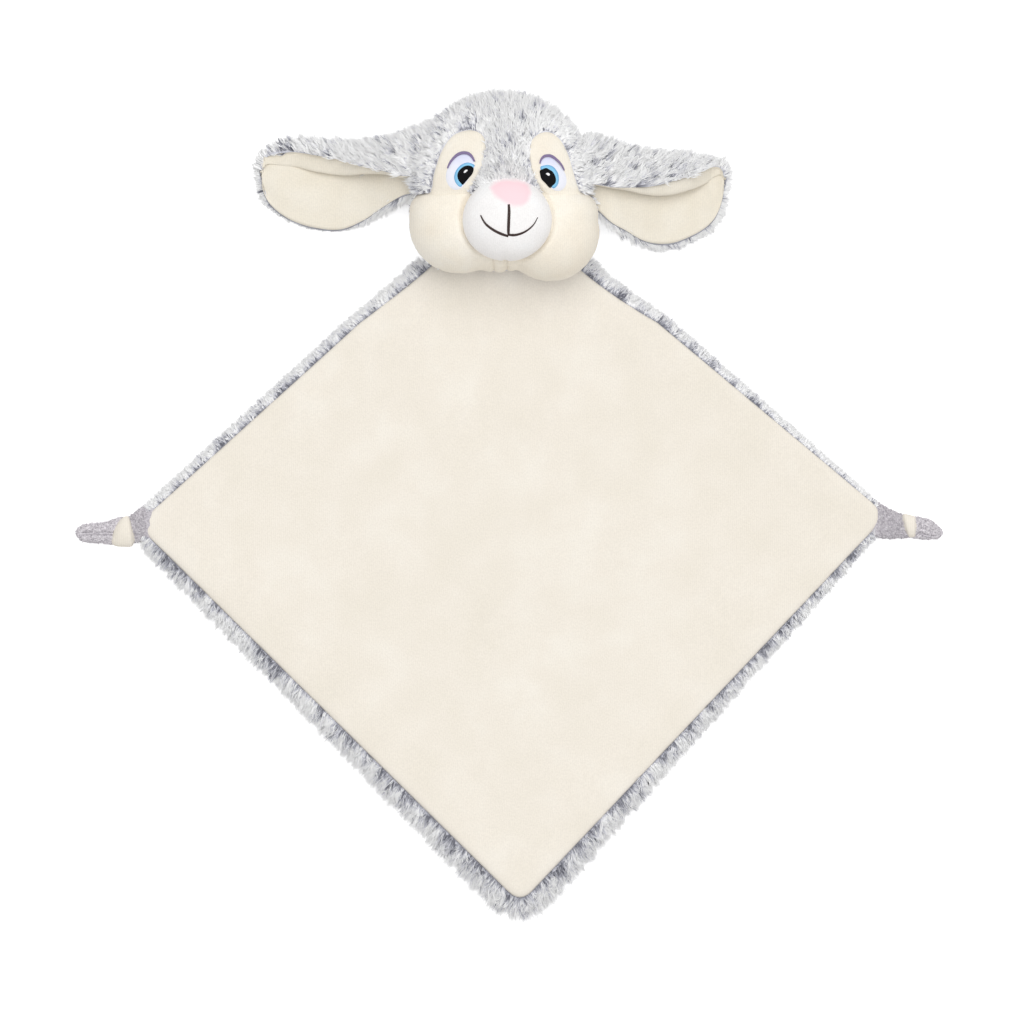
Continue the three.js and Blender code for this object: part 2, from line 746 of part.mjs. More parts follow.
const cheekSeamY = neckAxisY + cheekSeamAboveNeck;
const faceBox = (lowX, highX, highY) =>
  box(new THREE.Vector3(lowX, 0, 0), new THREE.Vector3(highX, highY, headTop));
const patchOutline = (way, grow) =>
  ellipse(
    faceX + way * patchSpacing,
    neckAxisY + patchAboveNeck,
    patchHalfWidth + grow,
    patchHalfLength + grow,
    way * patchTiltDegrees,
    24,
  );
const patchCut = (way, grow) => upright(patchOutline(way, grow), 0, headTop);
const underSeam = faceBox(-headReach, headReach, cheekSeamY + seamGap / 2);
const crownCover = faceCover
  .subtract(underSeam)
  .subtract(patchCut(-1, seamGap / 2))
  .subtract(patchCut(1, seamGap / 2));
addPiece("head_crown_panel", crownCover, finish.fur);
for (const [side, way] of [["left", -1], ["right", 1]]) {
  const patch = faceCover.subtract(underSeam).intersect(patchCut(way, -seamGap / 2));
  addPiece(`${side}_eye_patch`, patch, finish.velour);
}

const chinX = faceX + chinGussetShift;
const chinLeft = chinX - chinGussetWidth / 2;
const chinRight = chinX + chinGussetWidth / 2;
const cheekTop = cheekSeamY - seamGap / 2;
const halfGap = seamGap / 2;
const faceStrip = (lowX, highX) => faceCover.intersect(faceBox(lowX, highX, cheekTop));
addPiece("left_cheek", faceStrip(-headReach, chinLeft - halfGap), finish.velour);
addPiece("right_cheek", faceStrip(chinRight + halfGap, headReach), finish.velour);
addPiece("chin_gusset", faceStrip(chinLeft + halfGap, chinRight - halfGap), finish.velour);

// Muzzle: a cover round its own stuffing, open where it is sewn to the face.
function muzzleForm(inset) {
  return puff({
    x: faceX + muzzleShift,
    y: neckAxisY + muzzleAboveNeck,
    z: muzzleMiddle,
    halfWidth: muzzleHalfWidth - inset,
    halfLength: muzzleHalfLength - inset,
    rise: muzzleRise - inset,
    fall: muzzleRise - inset,
    boxiness: 2,
  });
}

const faceSurface = headForm(-seamGap);
const muzzleCover = muzzleForm(0).subtract(muzzleForm(coverThickness)).subtract(faceSurface);
addPiece("muzzle_cover", muzzleCover, finish.whiteVelour);
addPiece("muzzle_stuffing", muzzleForm(coverThickness + seamGap).subtract(faceSurface), finish.stuffing);

// Threads: thin layers that lie on a cover and keep the outline drawn from above.
const threadLayer = (form) => form(-seamGap - threadHeight).subtract(form(-seamGap));
const above = (outline, level = seamHeight) => upright(outline, level, headTop);
const mouthX = faceX + muzzleShift + seamGap;
const mouthY = neckAxisY + mouthAboveNeck;
const mouthThread = threadLayer(muzzleForm);

const smileBendShares = { out: 0.75, up: 0.12 };

function addMouth() {
  const philtrum = [new THREE.Vector2(mouthX, mouthY), new THREE.Vector2(mouthX, mouthY + philtrumLength)];
  const gap = mouthWidth / 2 + seamGap;
  const sewn = (line) => mouthThread.intersect(above(strip(line, mouthWidth), muzzleMiddle));
  addPiece("mouth_philtrum", sewn(philtrum), finish.mouth);
  for (const [side, way] of [["left", -1], ["right", 1]]) {
    const curve = new THREE.QuadraticBezierCurve(
      new THREE.Vector2(mouthX + way * gap, mouthY),
      new THREE.Vector2(
        mouthX + way * smileHalfWidth * smileBendShares.out,
        mouthY + smileRise * smileBendShares.up,
      ),
      new THREE.Vector2(mouthX + way * smileHalfWidth, mouthY + smileRise),
    );
    addPiece(`mouth_smile_${side}`, sewn(curve.getPoints(7)), finish.mouth);
  }
}

addMouth();

// Eyes: white, iris, pupil and highlight lie side by side, with a lid line over the white.
const eyeThread = threadLayer(headForm).subtract(muzzleForm(-seamGap));
const lidStartShare = 0.08;

function addEye(side, way) {
  const x = faceX + way * eyeSpacing;
  const y = neckAxisY + eyeAboveNeck;
  const lookIn = -way * (eyeWhiteHalfWidth - irisHalfWidth);
  const disc = (dx, dy, halfWidth, halfHeight, grow = 0) =>
    ellipse(x + dx, y + dy, halfWidth + grow, halfHeight + grow, 0, 18);
  const irisDrop = irisHalfHeight / 3;
  const white = (grow) => above(disc(0, 0, eyeWhiteHalfWidth, eyeWhiteHalfHeight, grow));
  const iris = (grow) => above(disc(lookIn, -irisDrop, irisHalfWidth, irisHalfHeight, grow));
  const pupil = (grow) => above(disc(lookIn, -irisDrop, pupilHalfWidth, pupilHalfHeight, grow));
  const shine = (grow) => above(disc(lookIn, -irisDrop / 3, highlightHalfWidth, highlightHalfHeight, grow));
  const lidReach = eyeWhiteHalfWidth + seamGap + lidLineWidth / 2;
  const lidHeight = eyeWhiteHalfHeight + seamGap + lidLineWidth / 2;
  const lidStart = Math.PI * lidStartShare;
  const lid = new THREE.EllipseCurve(x, y, lidReach, lidHeight, lidStart, Math.PI - lidStart).getPoints(12);
  addPiece(`${side}_eye_white`, eyeThread.intersect(white(0)).subtract(iris(seamGap)), finish.eyeWhite);
  addPiece(`${side}_eye_iris`, eyeThread.intersect(iris(0)).subtract(pupil(seamGap)), finish.iris);
  addPiece(`${side}_eye_pupil`, eyeThread.intersect(pupil(0)).subtract(shine(seamGap)), finish.pupil);
  addPiece(`${side}_eye_highlight`, eyeThread.intersect(shine(0)), finish.highlight);
  addPiece(`${side}_eye_lid_line`, eyeThread.intersect(above(strip(lid, lidLineWidth))), finish.lidLine);
}

addEye("left", -1);
addEye("right", 1);
ears.forEach(addEar);

export default lovey;
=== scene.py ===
import math

import bmesh
import bpy
import numpy as np
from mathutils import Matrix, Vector, noise
from mathutils.bvhtree import BVHTree
from mathutils.kdtree import KDTree


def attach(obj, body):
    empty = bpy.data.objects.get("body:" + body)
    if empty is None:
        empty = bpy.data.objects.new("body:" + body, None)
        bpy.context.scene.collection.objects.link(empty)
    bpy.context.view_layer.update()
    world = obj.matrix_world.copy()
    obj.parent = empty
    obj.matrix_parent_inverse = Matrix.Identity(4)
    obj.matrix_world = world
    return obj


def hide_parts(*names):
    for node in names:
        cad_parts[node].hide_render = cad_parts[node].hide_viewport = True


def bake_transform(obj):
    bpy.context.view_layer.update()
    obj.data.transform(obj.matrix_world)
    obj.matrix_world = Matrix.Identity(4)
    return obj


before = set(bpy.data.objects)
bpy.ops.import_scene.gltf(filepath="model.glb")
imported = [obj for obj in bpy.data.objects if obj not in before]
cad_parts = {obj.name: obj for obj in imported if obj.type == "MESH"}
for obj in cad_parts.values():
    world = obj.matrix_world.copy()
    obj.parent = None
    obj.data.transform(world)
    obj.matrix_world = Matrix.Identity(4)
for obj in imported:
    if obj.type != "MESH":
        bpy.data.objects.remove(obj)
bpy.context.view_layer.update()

# A comfort blanket that lies on its furry back, seen from straight above. Metres, as in the frame:
# +X is to the viewer's right, +Y points to the head and +Z comes up out of the velour front.
mm = 0.001

# Blanket back: one square of long-pile polyester fur on a knitted backing, cut a little larger than the
# front. Front and back are sewn face to face and turned, so the backing rolls up round every edge and
# its pile stands out past the seam.
panel_half_width = 243.5 * mm
panel_upper_reach = 212 * mm
panel_lower_reach = 249 * mm
side_corner_rise = 3.2 * mm
side_corner_cut = 9.8 * mm
top_corner_shift = -5.8 * mm
bottom_tip_shift = 5.4 * mm
tip_rounding = 11 * mm
neck_width = 98 * mm
neck_insets = (5.5 * mm, 8.5 * mm)
neck_edge_y = 168 * mm
neck_shift = -1.6 * mm
shoulder_drop = 40 * mm
shoulder_bends = ((-58.8 * mm, 158 * mm), (58.9 * mm, 148.4 * mm))
edge_step = 2.6 * mm
backing_thickness = 1.2 * mm
backing_height = 3.2 * mm
blanket_middle = np.array([0, (neck_edge_y - panel_lower_reach) / 2])


def stretch(start, end, fur_from, fur_to, bend=None):
    """Points along one stretch of the blanket's edge, each with its share of the fur border."""
    count = max(3, round(np.linalg.norm(end - start) / edge_step))
    share = np.arange(count)[:, None] / count
    middle = (start + end) / 2 if bend is None else bend
    points = (1 - share) ** 2 * start + 2 * share * (1 - share) * middle + share ** 2 * end
    return np.hstack([points, fur_from + (fur_to - fur_from) * share])


def blanket_edge():
    """The edge from the neck round by the left arm, as points, outward directions and fur shares."""
    left = np.array([-panel_half_width, -side_corner_rise])
    right = np.array([panel_half_width, side_corner_rise])
    tip = np.array([bottom_tip_shift, -panel_lower_reach])
    top = np.array([top_corner_shift, panel_upper_reach])

    def towards(corner, goal, distance):
        return corner + (goal - corner) / np.linalg.norm(goal - corner) * distance

    def cut_back(corner, goal):
        return corner + (goal - corner) * side_corner_cut / abs(goal[0] - corner[0])

    def at_height(corner, y):
        return corner + (top - corner) * (y - corner[1]) / (top[1] - corner[1])

    neck_left = at_height(left, neck_edge_y) + np.array([neck_insets[0], 0])
    neck_right = at_height(right, neck_edge_y) - np.array([neck_insets[1], 0])
    left_shoulder = at_height(left, neck_edge_y - shoulder_drop)
    right_shoulder = at_height(right, neck_edge_y - shoulder_drop)
    before_tip = towards(tip, left, tip_rounding)
    after_tip = towards(tip, right, tip_rounding)
    edge = np.vstack([
        stretch(neck_right, neck_left, 0, 0),
        stretch(neck_left, left_shoulder, 0.95, 0.6, np.array(shoulder_bends[0])),
        stretch(left_shoulder, cut_back(left, top), 0.6, 0.5),
        stretch(cut_back(left, top), cut_back(left, tip), 0.5, 0.85, left),
        stretch(cut_back(left, tip), before_tip, 0.85, 1.5),
        stretch(before_tip, after_tip, 1.5, 1.5, tip),
        stretch(after_tip, cut_back(right, tip), 1.5, 0.4),
        stretch(cut_back(right, tip), cut_back(right, top), 0.4, 0.12, right),
        stretch(cut_back(right, top), right_shoulder, 0.12, 0.6),
        stretch(right_shoulder, neck_right, 0.6, 1.0, np.array(shoulder_bends[1])),
    ])
    points = edge[:, :2]
    run = np.roll(points, -2, axis=0) - np.roll(points, 2, axis=0)
    run /= np.linalg.norm(run, axis=1)[:, None]
    return points, np.column_stack([run[:, 1], -run[:, 0]]), edge[:, 2]


def loft(name, rows):
    """A surface through rows of points. Points that fall together are merged, which closes its ends."""
    rows = np.asarray(rows, float)
    bm = bmesh.new()
    bmesh.ops.create_grid(bm, x_segments=rows.shape[1] - 1, y_segments=rows.shape[0] - 1, size=1)
    for vert, place in zip(bm.verts, rows.reshape(-1, 3)):
        vert.co = place
    bmesh.ops.remove_doubles(bm, verts=bm.verts, dist=0.02 * mm)
    return new_piece(name, bm)


def new_piece(name, bm):
    """An object at the origin from a bmesh, shaded smooth."""
    for face in bm.faces:
        face.smooth = True
    mesh = bpy.data.meshes.new(name)
    bm.to_mesh(mesh)
    bm.free()
    piece = bpy.data.objects.new(name, mesh)
    bpy.context.scene.collection.objects.link(piece)
    return piece


def reshape(piece, change):
    """Edits a piece's mesh in place: change is given the bmesh."""
    bm = bmesh.new()
    bm.from_mesh(piece.data)
    bm.normal_update()
    change(bm)
    bm.to_mesh(piece.data)
    bm.free()
    piece.data.update()


def apply_modifiers(piece):
    """Makes the piece's modifiers part of its mesh."""
    graph = bpy.context.evaluated_depsgraph_get()
    shaped = bpy.data.meshes.new_from_object(piece.evaluated_get(graph))
    piece.modifiers.clear()
    piece.data = shaped
    shaped.shade_smooth()


def thicken(piece, thickness):
    """Gives a sheet its thickness, on the side away from its face."""
    solid = piece.modifiers.new("Cloth thickness", "SOLIDIFY")
    solid.thickness = thickness
    solid.offset = -1
    apply_modifiers(piece)


def ripple(point, size, seed=0):
    """A soft unevenness between -1 and 1, with bumps of about the given size."""
    return noise.noise(Vector(point) / size + Vector((seed, seed * 0.37, -seed)))


def linear(hex_colour):
    """An sRGB hex colour as linear red, green, blue and alpha."""
    shares = [int(hex_colour[i:i + 2], 16) / 255 for i in (1, 3, 5)]
    return [s / 12.92 if s <= 0.04045 else ((s + 0.055) / 1.055) ** 2.4 for s in shares] + [1]


def new_material(name):
    material = bpy.data.materials.new(name)
    material.use_nodes = True
    return material, material.node_tree, material.node_tree.nodes["Principled BSDF"]


def set_inputs(tree, node, inputs):
    """Sets a node's inputs, each to a plain value or to another node's output, which is linked."""
    for name, value in inputs.items():
        if isinstance(value, bpy.types.NodeSocket):
            tree.links.new(value, node.inputs[name])
        else:
            node.inputs[name].default_value = value


def add_node(tree, kind, inputs=None, **settings):
    """Adds a node with its settings and inputs."""
    node = tree.nodes.new("ShaderNode" + kind)
    for name, value in settings.items():
        setattr(node, name, value)
    set_inputs(tree, node, inputs or {})
    return node


def colour_stops(node, stops):
    """Sets a colour ramp from (position, hex colour) pairs."""
    ramp = node.color_ramp
    while len(ramp.elements) < len(stops):
        ramp.elements.new(0.5)
    for element, (position, colour) in zip(ramp.elements, stops):
        element.position = position
        element.color = linear(colour)


# Long-pile polyester fur: brushed matt fibre, tip-dyed, so the roots and the undyed streaks are grey and
# the ends nearly white. The tone attribute holds where each strand lies between the two.
fur_material, tree, shader = new_material("long_pile_polyester_fur")
tone = add_node(tree, "Attribute", attribute_name="tone")
shades = add_node(tree, "ValToRGB", {"Fac": tone.outputs["Fac"]})
colour_stops(shades, [(0, "#74757f"), (0.25, "#bdbec8"), (0.48, "#ebebf0"), (0.7, "#ffffff")])
set_inputs(tree, shader, {"Base Color": shades.outputs["Color"], "Roughness": 0.75, "IOR": 1.52,
                          "Specular IOR Level": 0.25, "Sheen Weight": 0.25, "Sheen Roughness": 0.5})

edge_points, edge_outward, fur_share = blanket_edge()


def edge_ring(out, z, share=None):
    """The blanket's edge moved outwards, or drawn in towards the middle by a share, at a height."""
    points = edge_points + edge_outward * np.reshape(out, (-1, 1))
    if share is not None:
        points = points + (blanket_middle - points) * share
    ring = np.column_stack([points, np.full(len(points), z)])
    return np.vstack([ring, ring[:1]])


# Across the rolled edge, in millimetres: how far out it lies, how much further where the fur border is full,
# and its height. The rest of the square lies level, drawn in towards the middle by these shares.
roll_rows = [(-0.8, 0, 6.4), (0.1, 0, 7), (0, 1.1, 7.6), (0, 2.4, 7.2), (0, 3.2, 5.8), (0, 2.9, 4.4),
             (0, 1.6, 3.6)]
level_shares = [0.01, 0.03, 0.06, 0.1, *np.linspace(0.16, 0.98, 16)]
backing_rows = [edge_ring(out * mm + roll * mm * fur_share, z * mm) for out, roll, z in roll_rows]
backing_rows += [edge_ring(0, backing_height, share) for share in level_shares]
backing_rows.append(np.tile([*blanket_middle, backing_height], (len(edge_points) + 1, 1)))
back = loft("blanket_back_fur_fabric", backing_rows[::-1])


def uneven_back(bm):
    """The loose square rises and falls a little over its pile."""
    for vert in bm.verts:
        vert.co.z += 0.5 * mm * ripple(vert.co, 45 * mm) * min(1, vert.co.z / (6 * mm))


reshape(back, uneven_back)


def scatter(piece, count, rng, keep):
    """Random places on a mesh, spread by area where keep allows, with the surface's normal at each."""
    mesh = piece.data
    mesh.calc_loop_triangles()
    corners = np.zeros(len(mesh.vertices) * 3)
    mesh.vertices.foreach_get("co", corners)
    corners = corners.reshape(-1, 3)
    normals = np.zeros(len(mesh.vertices) * 3)
    mesh.vertices.foreach_get("normal", normals)
    normals = normals.reshape(-1, 3)
    faces = np.zeros(len(mesh.loop_triangles) * 3, int)
    mesh.loop_triangles.foreach_get("vertices", faces)
    faces = faces.reshape(-1, 3)
    a, b, c = (corners[faces[:, i]] for i in range(3))
    middles = (a + b + c) / 3
    area = np.linalg.norm(np.cross(b - a, c - a), axis=1)
    face_normals = np.cross(b - a, c - a) / np.maximum(area, 1e-12)[:, None]
    area = area * keep(middles, face_normals)
    chosen = rng.choice(len(faces), count, p=area / area.sum())
    u, v = rng.random((2, count, 1))
    u, v = np.where(u + v > 1, 1 - u, u), np.where(u + v > 1, 1 - v, v)
    weights = (1 - u - v, u, v)
    places = sum(w * corners[faces[chosen, i]] for i, w in enumerate(weights))
    upright = sum(w * normals[faces[chosen, i]] for i, w in enumerate(weights))
    return places, upright / np.linalg.norm(upright, axis=1)[:, None]


def unit(vectors):
    return vectors / np.maximum(np.linalg.norm(vectors, axis=-1, keepdims=True), 1e-9)


def grow_fur(name, roots, normals, flow, rng, length=12 * mm, width=0.7 * mm, lean=0.5, tuft=9, stray=0.28,
             gather=0.7, tone_level=0.5, climb=1.0):
    """Strands that leave their roots along the normals and lean the way the pile flows, drawn into tufts.

    Each strand is a closed three-sided spike of two segments, so that the pile keeps to a few faces. None
    rises more steeply than climb."""
    count = len(roots)
    heads = rng.choice(count, max(1, count // tuft), replace=False)
    tree = KDTree(len(heads))
    for i, head in enumerate(heads):
        tree.insert(roots[head], i)
    tree.balance()
    owner = np.array([tree.find(root)[1] for root in roots])
    head = heads[owner]
    length = np.broadcast_to(length, count)
    reach = length[head] * rng.uniform(0.8, 1.15, len(heads))[owner] * rng.uniform(0.68, 1.12, count)
    sway = rng.normal(0, stray, (len(heads), 3))[owner] + rng.normal(0, stray * 0.42, (count, 3))
    way = unit(normals[head] * (1 - lean) + flow[head] * lean + sway)
    below = np.minimum(np.sum(way * normals, axis=1, keepdims=True) - 0.06, 0)
    way = unit(way - below * normals)
    way[:, 2] = np.minimum(way[:, 2], climb)
    tips = roots[head] + (roots - roots[head]) * gather + way * reach[:, None]
    wave = (rng.normal(0, 0.16, len(heads))[owner] + rng.normal(0, 0.07, count)) * reach
    bends = roots + unit(normals * 0.75 + way * 0.6) * reach[:, None] * 0.42
    bends += np.cross(way, normals) * wave[:, None]
    middles = (roots + 2 * bends + tips) / 4
    for points in (tips, middles):
        points[:, 2] = np.maximum(points[:, 2], 0.3 * mm)

    side = unit(np.cross(tips - roots, rng.normal(0, 1, (count, 3))))
    other = unit(np.cross(tips - roots, side))
    turn = 2 * np.pi * np.arange(3) / 3
    section = side[:, None] * np.cos(turn)[:, None] + other[:, None] * np.sin(turn)[:, None]
    half = (width * rng.uniform(0.6, 1.2, count) / 2)[:, None, None]
    low = roots[:, None] - normals[:, None] * 0.3 * mm + section * half * 0.8
    # The fibres let light through, so a strand is shaded mostly as the cloth that it stands on, turned
    # towards the light, and less so on the sides that face away from it.
    level = np.where(normals[:, 2:] > -0.5, [0, 0, 1.0], [0, 0, -1.0])
    lit = unit(normals + 0.7 * level)
    facing_out = np.clip(section @ lit[:, :, None] + 0.6, 0, 1)
    rounded = unit(section + 1.4 * facing_out * lit[:, None])
    across = unit(level - np.sum(level * way, axis=1, keepdims=True) * way)
    tip_shading = unit(across + 0.8 * lit)
    shading = np.concatenate([rounded, rounded, tip_shading[:, None]], axis=1).reshape(-1, 3)
    high = middles[:, None] + section * half
    verts = np.concatenate([low, high, tips[:, None]], axis=1).reshape(-1, 3)

    spike = [(2, 1, 0), (0, 1, 4, 3), (1, 2, 5, 4), (2, 0, 3, 5), (3, 4, 6), (4, 5, 6), (5, 3, 6)]
    corners = np.array([i for face in spike for i in face])
    starts = np.cumsum([0] + [len(face) for face in spike[:-1]])
    mesh = bpy.data.meshes.new(name)
    mesh.vertices.add(count * 7)
    mesh.vertices.foreach_set("co", verts.ravel())
    mesh.loops.add(count * len(corners))
    mesh.loops.foreach_set("vertex_index", (corners + 7 * np.arange(count)[:, None]).ravel())
    mesh.polygons.add(count * len(spike))
    mesh.polygons.foreach_set("loop_start", (starts + len(corners) * np.arange(count)[:, None]).ravel())
    mesh.update(calc_edges=True)
    mesh.shade_smooth()
    mesh.normals_split_custom_set_from_vertices(shading)

    tone_level = np.broadcast_to(tone_level, count)[heads]
    tuft_tone = tone_level * (1 - 0.55 * (rng.random(len(heads)) < 0.13)) + rng.normal(0, 0.14, len(heads))
    tuft_tone += 0.7 * np.array([ripple(roots[i], 8 * mm, 77) for i in heads])
    strand_tone = tuft_tone[owner] + rng.normal(0, 0.14, count)
    tones = strand_tone[:, None] + np.array([-0.4, -0.4, -0.4, 0, 0, 0, 0.35])
    attribute = mesh.attributes.new("tone", "FLOAT", "POINT")
    attribute.data.foreach_set("value", np.clip(tones, 0, 1).ravel().astype(np.float32))
    mesh.materials.append(fur_material)
    fur = bpy.data.objects.new(name, mesh)
    bpy.context.scene.collection.objects.link(fur)
    return fur


def set_attribute(piece, name, values):
    """Stores one value for each of a piece's points, for its material to read."""
    piece.data.attributes.new(name, "FLOAT", "POINT").data.foreach_set("value", values)


def set_tone(piece, level, seam_shade=None):
    """Gives a fur fabric's backing one tone, broken up by soft patches and darker with painted shade where
    it is sewn.
    """
    values = []
    for vert in piece.data.vertices:
        share = seam_shade(vert.co) if seam_shade else 0
        values.append(max(0, level * (1 - share) + 0.12 * share + 0.12 * ripple(vert.co, 6 * mm)))
    set_attribute(piece, "tone", values)


edge_tree = KDTree(len(edge_points))
for i, (x, y) in enumerate(edge_points):
    edge_tree.insert((x, y, 0), i)
edge_tree.balance()


def edge_facts(places):
    """For places near the blanket's edge: the outward direction, the fur share, and how far out they lie."""
    nearest = np.array([edge_tree.find((x, y, 0))[1] for x, y, z in places])
    outward = np.column_stack([edge_outward[nearest], np.zeros(len(places))])
    out = np.sum((places[:, :2] - edge_points[nearest]) * edge_outward[nearest], axis=1)
    return outward, fur_share[nearest], out


rim_strands = 12000
rim_pile = 10.5 * mm
belly_strands = 6500
belly_pile = 14 * mm
arm_gap = 6.5 * mm
below_arms_y = -8 * mm
quarter_split_y = -3 * mm
rim_lowest = 3.9 * mm
roll_reach = 3.2 * mm


def on_rim(middles, normals):
    """The rolled edge: outside the seam, and clear of the neck and the arms."""
    x, y, z = middles.T
    clear = np.abs(x) < panel_half_width - np.where(y < below_arms_y, arm_gap / 2, arm_gap)
    return (z > rim_lowest) & (y < neck_edge_y - 3 * mm) & clear & (edge_facts(middles)[2] > 0.15 * mm)


def in_quarter(sign_x, sign_y):
    return lambda middles: (middles[:, 0] * sign_x > 0) & ((middles[:, 1] - quarter_split_y) * sign_y > 0)


quarters = {"upper_left": (-1, 1), "upper_right": (1, 1), "lower_left": (-1, -1), "lower_right": (1, -1)}
back_fur = []
for seed, (quarter, signs) in enumerate(quarters.items()):
    here = in_quarter(*signs)
    rng = np.random.default_rng(10 + seed)
    roots, normals = scatter(back, rim_strands, rng, lambda m, n: on_rim(m, n) & here(m))
    outward, share, out = edge_facts(roots)
    # At the seam the pile is caught short and shows its grey roots, painted darker still as shade in the
    # seam's groove. Down the roll it grows long and pale.
    rolled = np.clip(out / (roll_reach * np.maximum(share, 0.15)), 0, 1)
    flow = unit(outward + np.array([0, -0.25 if signs[1] > 0 else -0.95, 0.05]))
    fur = grow_fur(f"rim_fur_{quarter}", roots, unit(normals * 0.5 + outward), flow, rng,
                   length=rim_pile * (0.3 + 0.7 * share) * (0.45 + 0.55 * rolled), width=0.6 * mm, lean=0.66,
                   tuft=8, stray=0.28, gather=0.85, tone_level=0.34 + 0.42 * rolled)
    back_fur.append(fur)

    roots, normals = scatter(back, belly_strands, rng,
                             lambda m, n: (n[:, 2] < -0.5) & (m[:, 2] < 4.2 * mm) & here(m))
    # It lies towards the tip, and near the edge it is shorter, so that none of it passes the rim's.
    flow = np.tile([0.0, -1.0, 0.0], (len(roots), 1))
    inside = -edge_facts(roots)[2]
    fur = grow_fur(f"back_fur_{quarter}", roots, normals, flow, rng, width=1.9 * mm, lean=0.9, tuft=7,
                   length=np.clip(3 * mm + 0.8 * inside, 3 * mm, belly_pile), stray=0.3, tone_level=0.6)
    back_fur.append(fur)


def painted_seam_shade(place):
    """Painted shade on the backing: darkest on top of the roll, close to the seam."""
    return (place.z > 6.1 * mm) * math.exp(-edge_tree.find((place.x, place.y, 0))[2] / (2 * mm))


def dress(piece, material, node):
    """Gives a piece its cloth or thread, and hides the solid from model.glb that it stands for."""
    piece.data.materials.append(material)
    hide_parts(node)


# The backing's tone, with painted shade along the seam.
set_tone(back, 0.45, painted_seam_shade)
thicken(back, backing_thickness)
dress(back, fur_material, "blanket_back_panel")

# The backing and its fur have their placing made part of their meshes.
for piece in [back, *back_fur]:
    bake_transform(piece)

# Blanket front: one square of cream knitted velour, sewn to the fur along its edge and not stuffed. It is
# drawn down at the seam, a little full inside it, and gathered by a few soft creases under the chin.
velour_thickness = 1.4 * mm
front_top = 9.6 * mm


def velour(name, low, middle, high, nap_size=32 * mm):
    """Knitted polyester velour: sheared loops, dull from the front and pale where they are seen side on."""
    material, tree, shader = new_material(name)
    place = add_node(tree, "TexCoord").outputs["Object"]
    # The nap lies in soft patches of a few centimetres, brushed lighter or darker by the hand.
    nap = add_node(tree, "TexNoise", {"Vector": place, "Scale": 1 / nap_size, "Detail": 3,
                                      "Roughness": 0.55})
    colour = add_node(tree, "ValToRGB", {"Fac": nap.outputs["Fac"]})
    colour_stops(colour, [(0.3, low), (0.52, middle), (0.72, high)])
    # Sheared loops stand about 0.6 mm apart, drawn at twice that so that they show.
    loops = add_node(tree, "TexNoise", {"Vector": place, "Scale": 1 / (1.2 * mm), "Detail": 2,
                                        "Roughness": 0.6})
    grain = add_node(tree, "ValToRGB", {"Fac": loops.outputs["Fac"]})
    colour_stops(grain, [(0.3, "#e9e9e9"), (0.7, "#ffffff")])
    grained = add_node(tree, "Mix", {0: 0.4, 6: colour.outputs["Color"], 7: grain.outputs["Color"]},
                       data_type="RGBA", blend_type="MULTIPLY")
    # The knitted ground shows through as faint upright ribs, 1.3 mm apart. A wave repeats every 0.314.
    ribs = add_node(tree, "TexWave", {"Vector": place, "Scale": 0.314 / (1.3 * mm), "Distortion": 1.5,
                                      "Detail": 1})
    rib_tone = add_node(tree, "ValToRGB", {"Fac": ribs.outputs["Fac"]})
    colour_stops(rib_tone, [(0.2, "#f0f0f0"), (0.8, "#ffffff")])
    mixed = add_node(tree, "Mix", {0: 0.35, 6: grained.outputs[2], 7: rib_tone.outputs["Color"]},
                     data_type="RGBA", blend_type="MULTIPLY")
    pile = add_node(tree, "Bump", {"Height": loops.outputs["Fac"], "Strength": 0.25, "Distance": 0.3 * mm})
    set_inputs(tree, shader, {"Base Color": mixed.outputs[2], "Normal": pile.outputs["Normal"],
                              "Roughness": 0.85, "IOR": 1.52, "Specular IOR Level": 0.2,
                              "Sheen Weight": 0.2, "Sheen Roughness": 0.4})
    return material


cream_velour = velour("cream_knitted_velour", "#efe8db", "#f2ebdf", "#f5efe4")

# Across its edge from the seam inwards, in millimetres: how far out it lies, and its height.
seam_rows = [(-0.2, 6.6), (0.2, 7.6), (-0.5, 8.5), (-1.6, 9.1), (-3.2, 9.5)]
flat_inset = 3.2 * mm
flat_shares = [0.012, 0.028, 0.046, 0.066, 0.09, *np.linspace(0.115, 0.98, 30)]
front_rows = [edge_ring(out * mm, z * mm) for out, z in seam_rows]
front_rows += [edge_ring(-flat_inset, front_top, share) for share in flat_shares]
front_rows.append(np.tile([*blanket_middle, front_top], (len(edge_points) + 1, 1)))
front = loft("blanket_front_velour", front_rows)

gather_reach = 58 * mm
gather_depth = 0.8 * mm
gather_pitch = 14 * mm


def uneven_front(bm):
    """Fullness inside the seam, small puckers along it, creases under the chin and a slack middle."""
    for vert in bm.verts:
        x, y, z = vert.co
        inside = edge_tree.find((x, y, 0))[2]
        settled = min(1, inside / (5 * mm))
        fullness = 0.5 * mm * math.exp(-((inside - 16 * mm) / (14 * mm)) ** 2)
        pucker = 0.3 * mm * ripple((x, y, 0), 7 * mm, 3) * math.exp(-inside / (7 * mm))
        slack = 0.55 * mm * ripple((x, y, 0), 55 * mm, 5) * settled
        near_neck = max(0, 1 - (neck_edge_y - y) / gather_reach)
        spread = max(0, 1 - abs(x - neck_shift) / (0.62 * neck_width))
        lean = x - neck_shift + 0.125 * (neck_edge_y - y) * np.sign(x - neck_shift)
        folds = math.cos(2 * math.pi * lean / gather_pitch + 2.2 * ripple((x, 0, 0), 30 * mm, 9))
        gathers = gather_depth * near_neck * spread * folds
        vert.co.z += fullness + pucker * settled + slack + gathers * settled


reshape(front, uneven_front)
thicken(front, velour_thickness)
dress(front, cream_velour, "blanket_front_panel")
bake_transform(front)

# Arms: each side corner ends in a tapered tube of short grey plush, tied in a knot. The knot shows as a
# cream band, and the loose end past it is flattened, with its seam along the middle.
plush_pile = 1.7 * mm
plush_strands = 4000


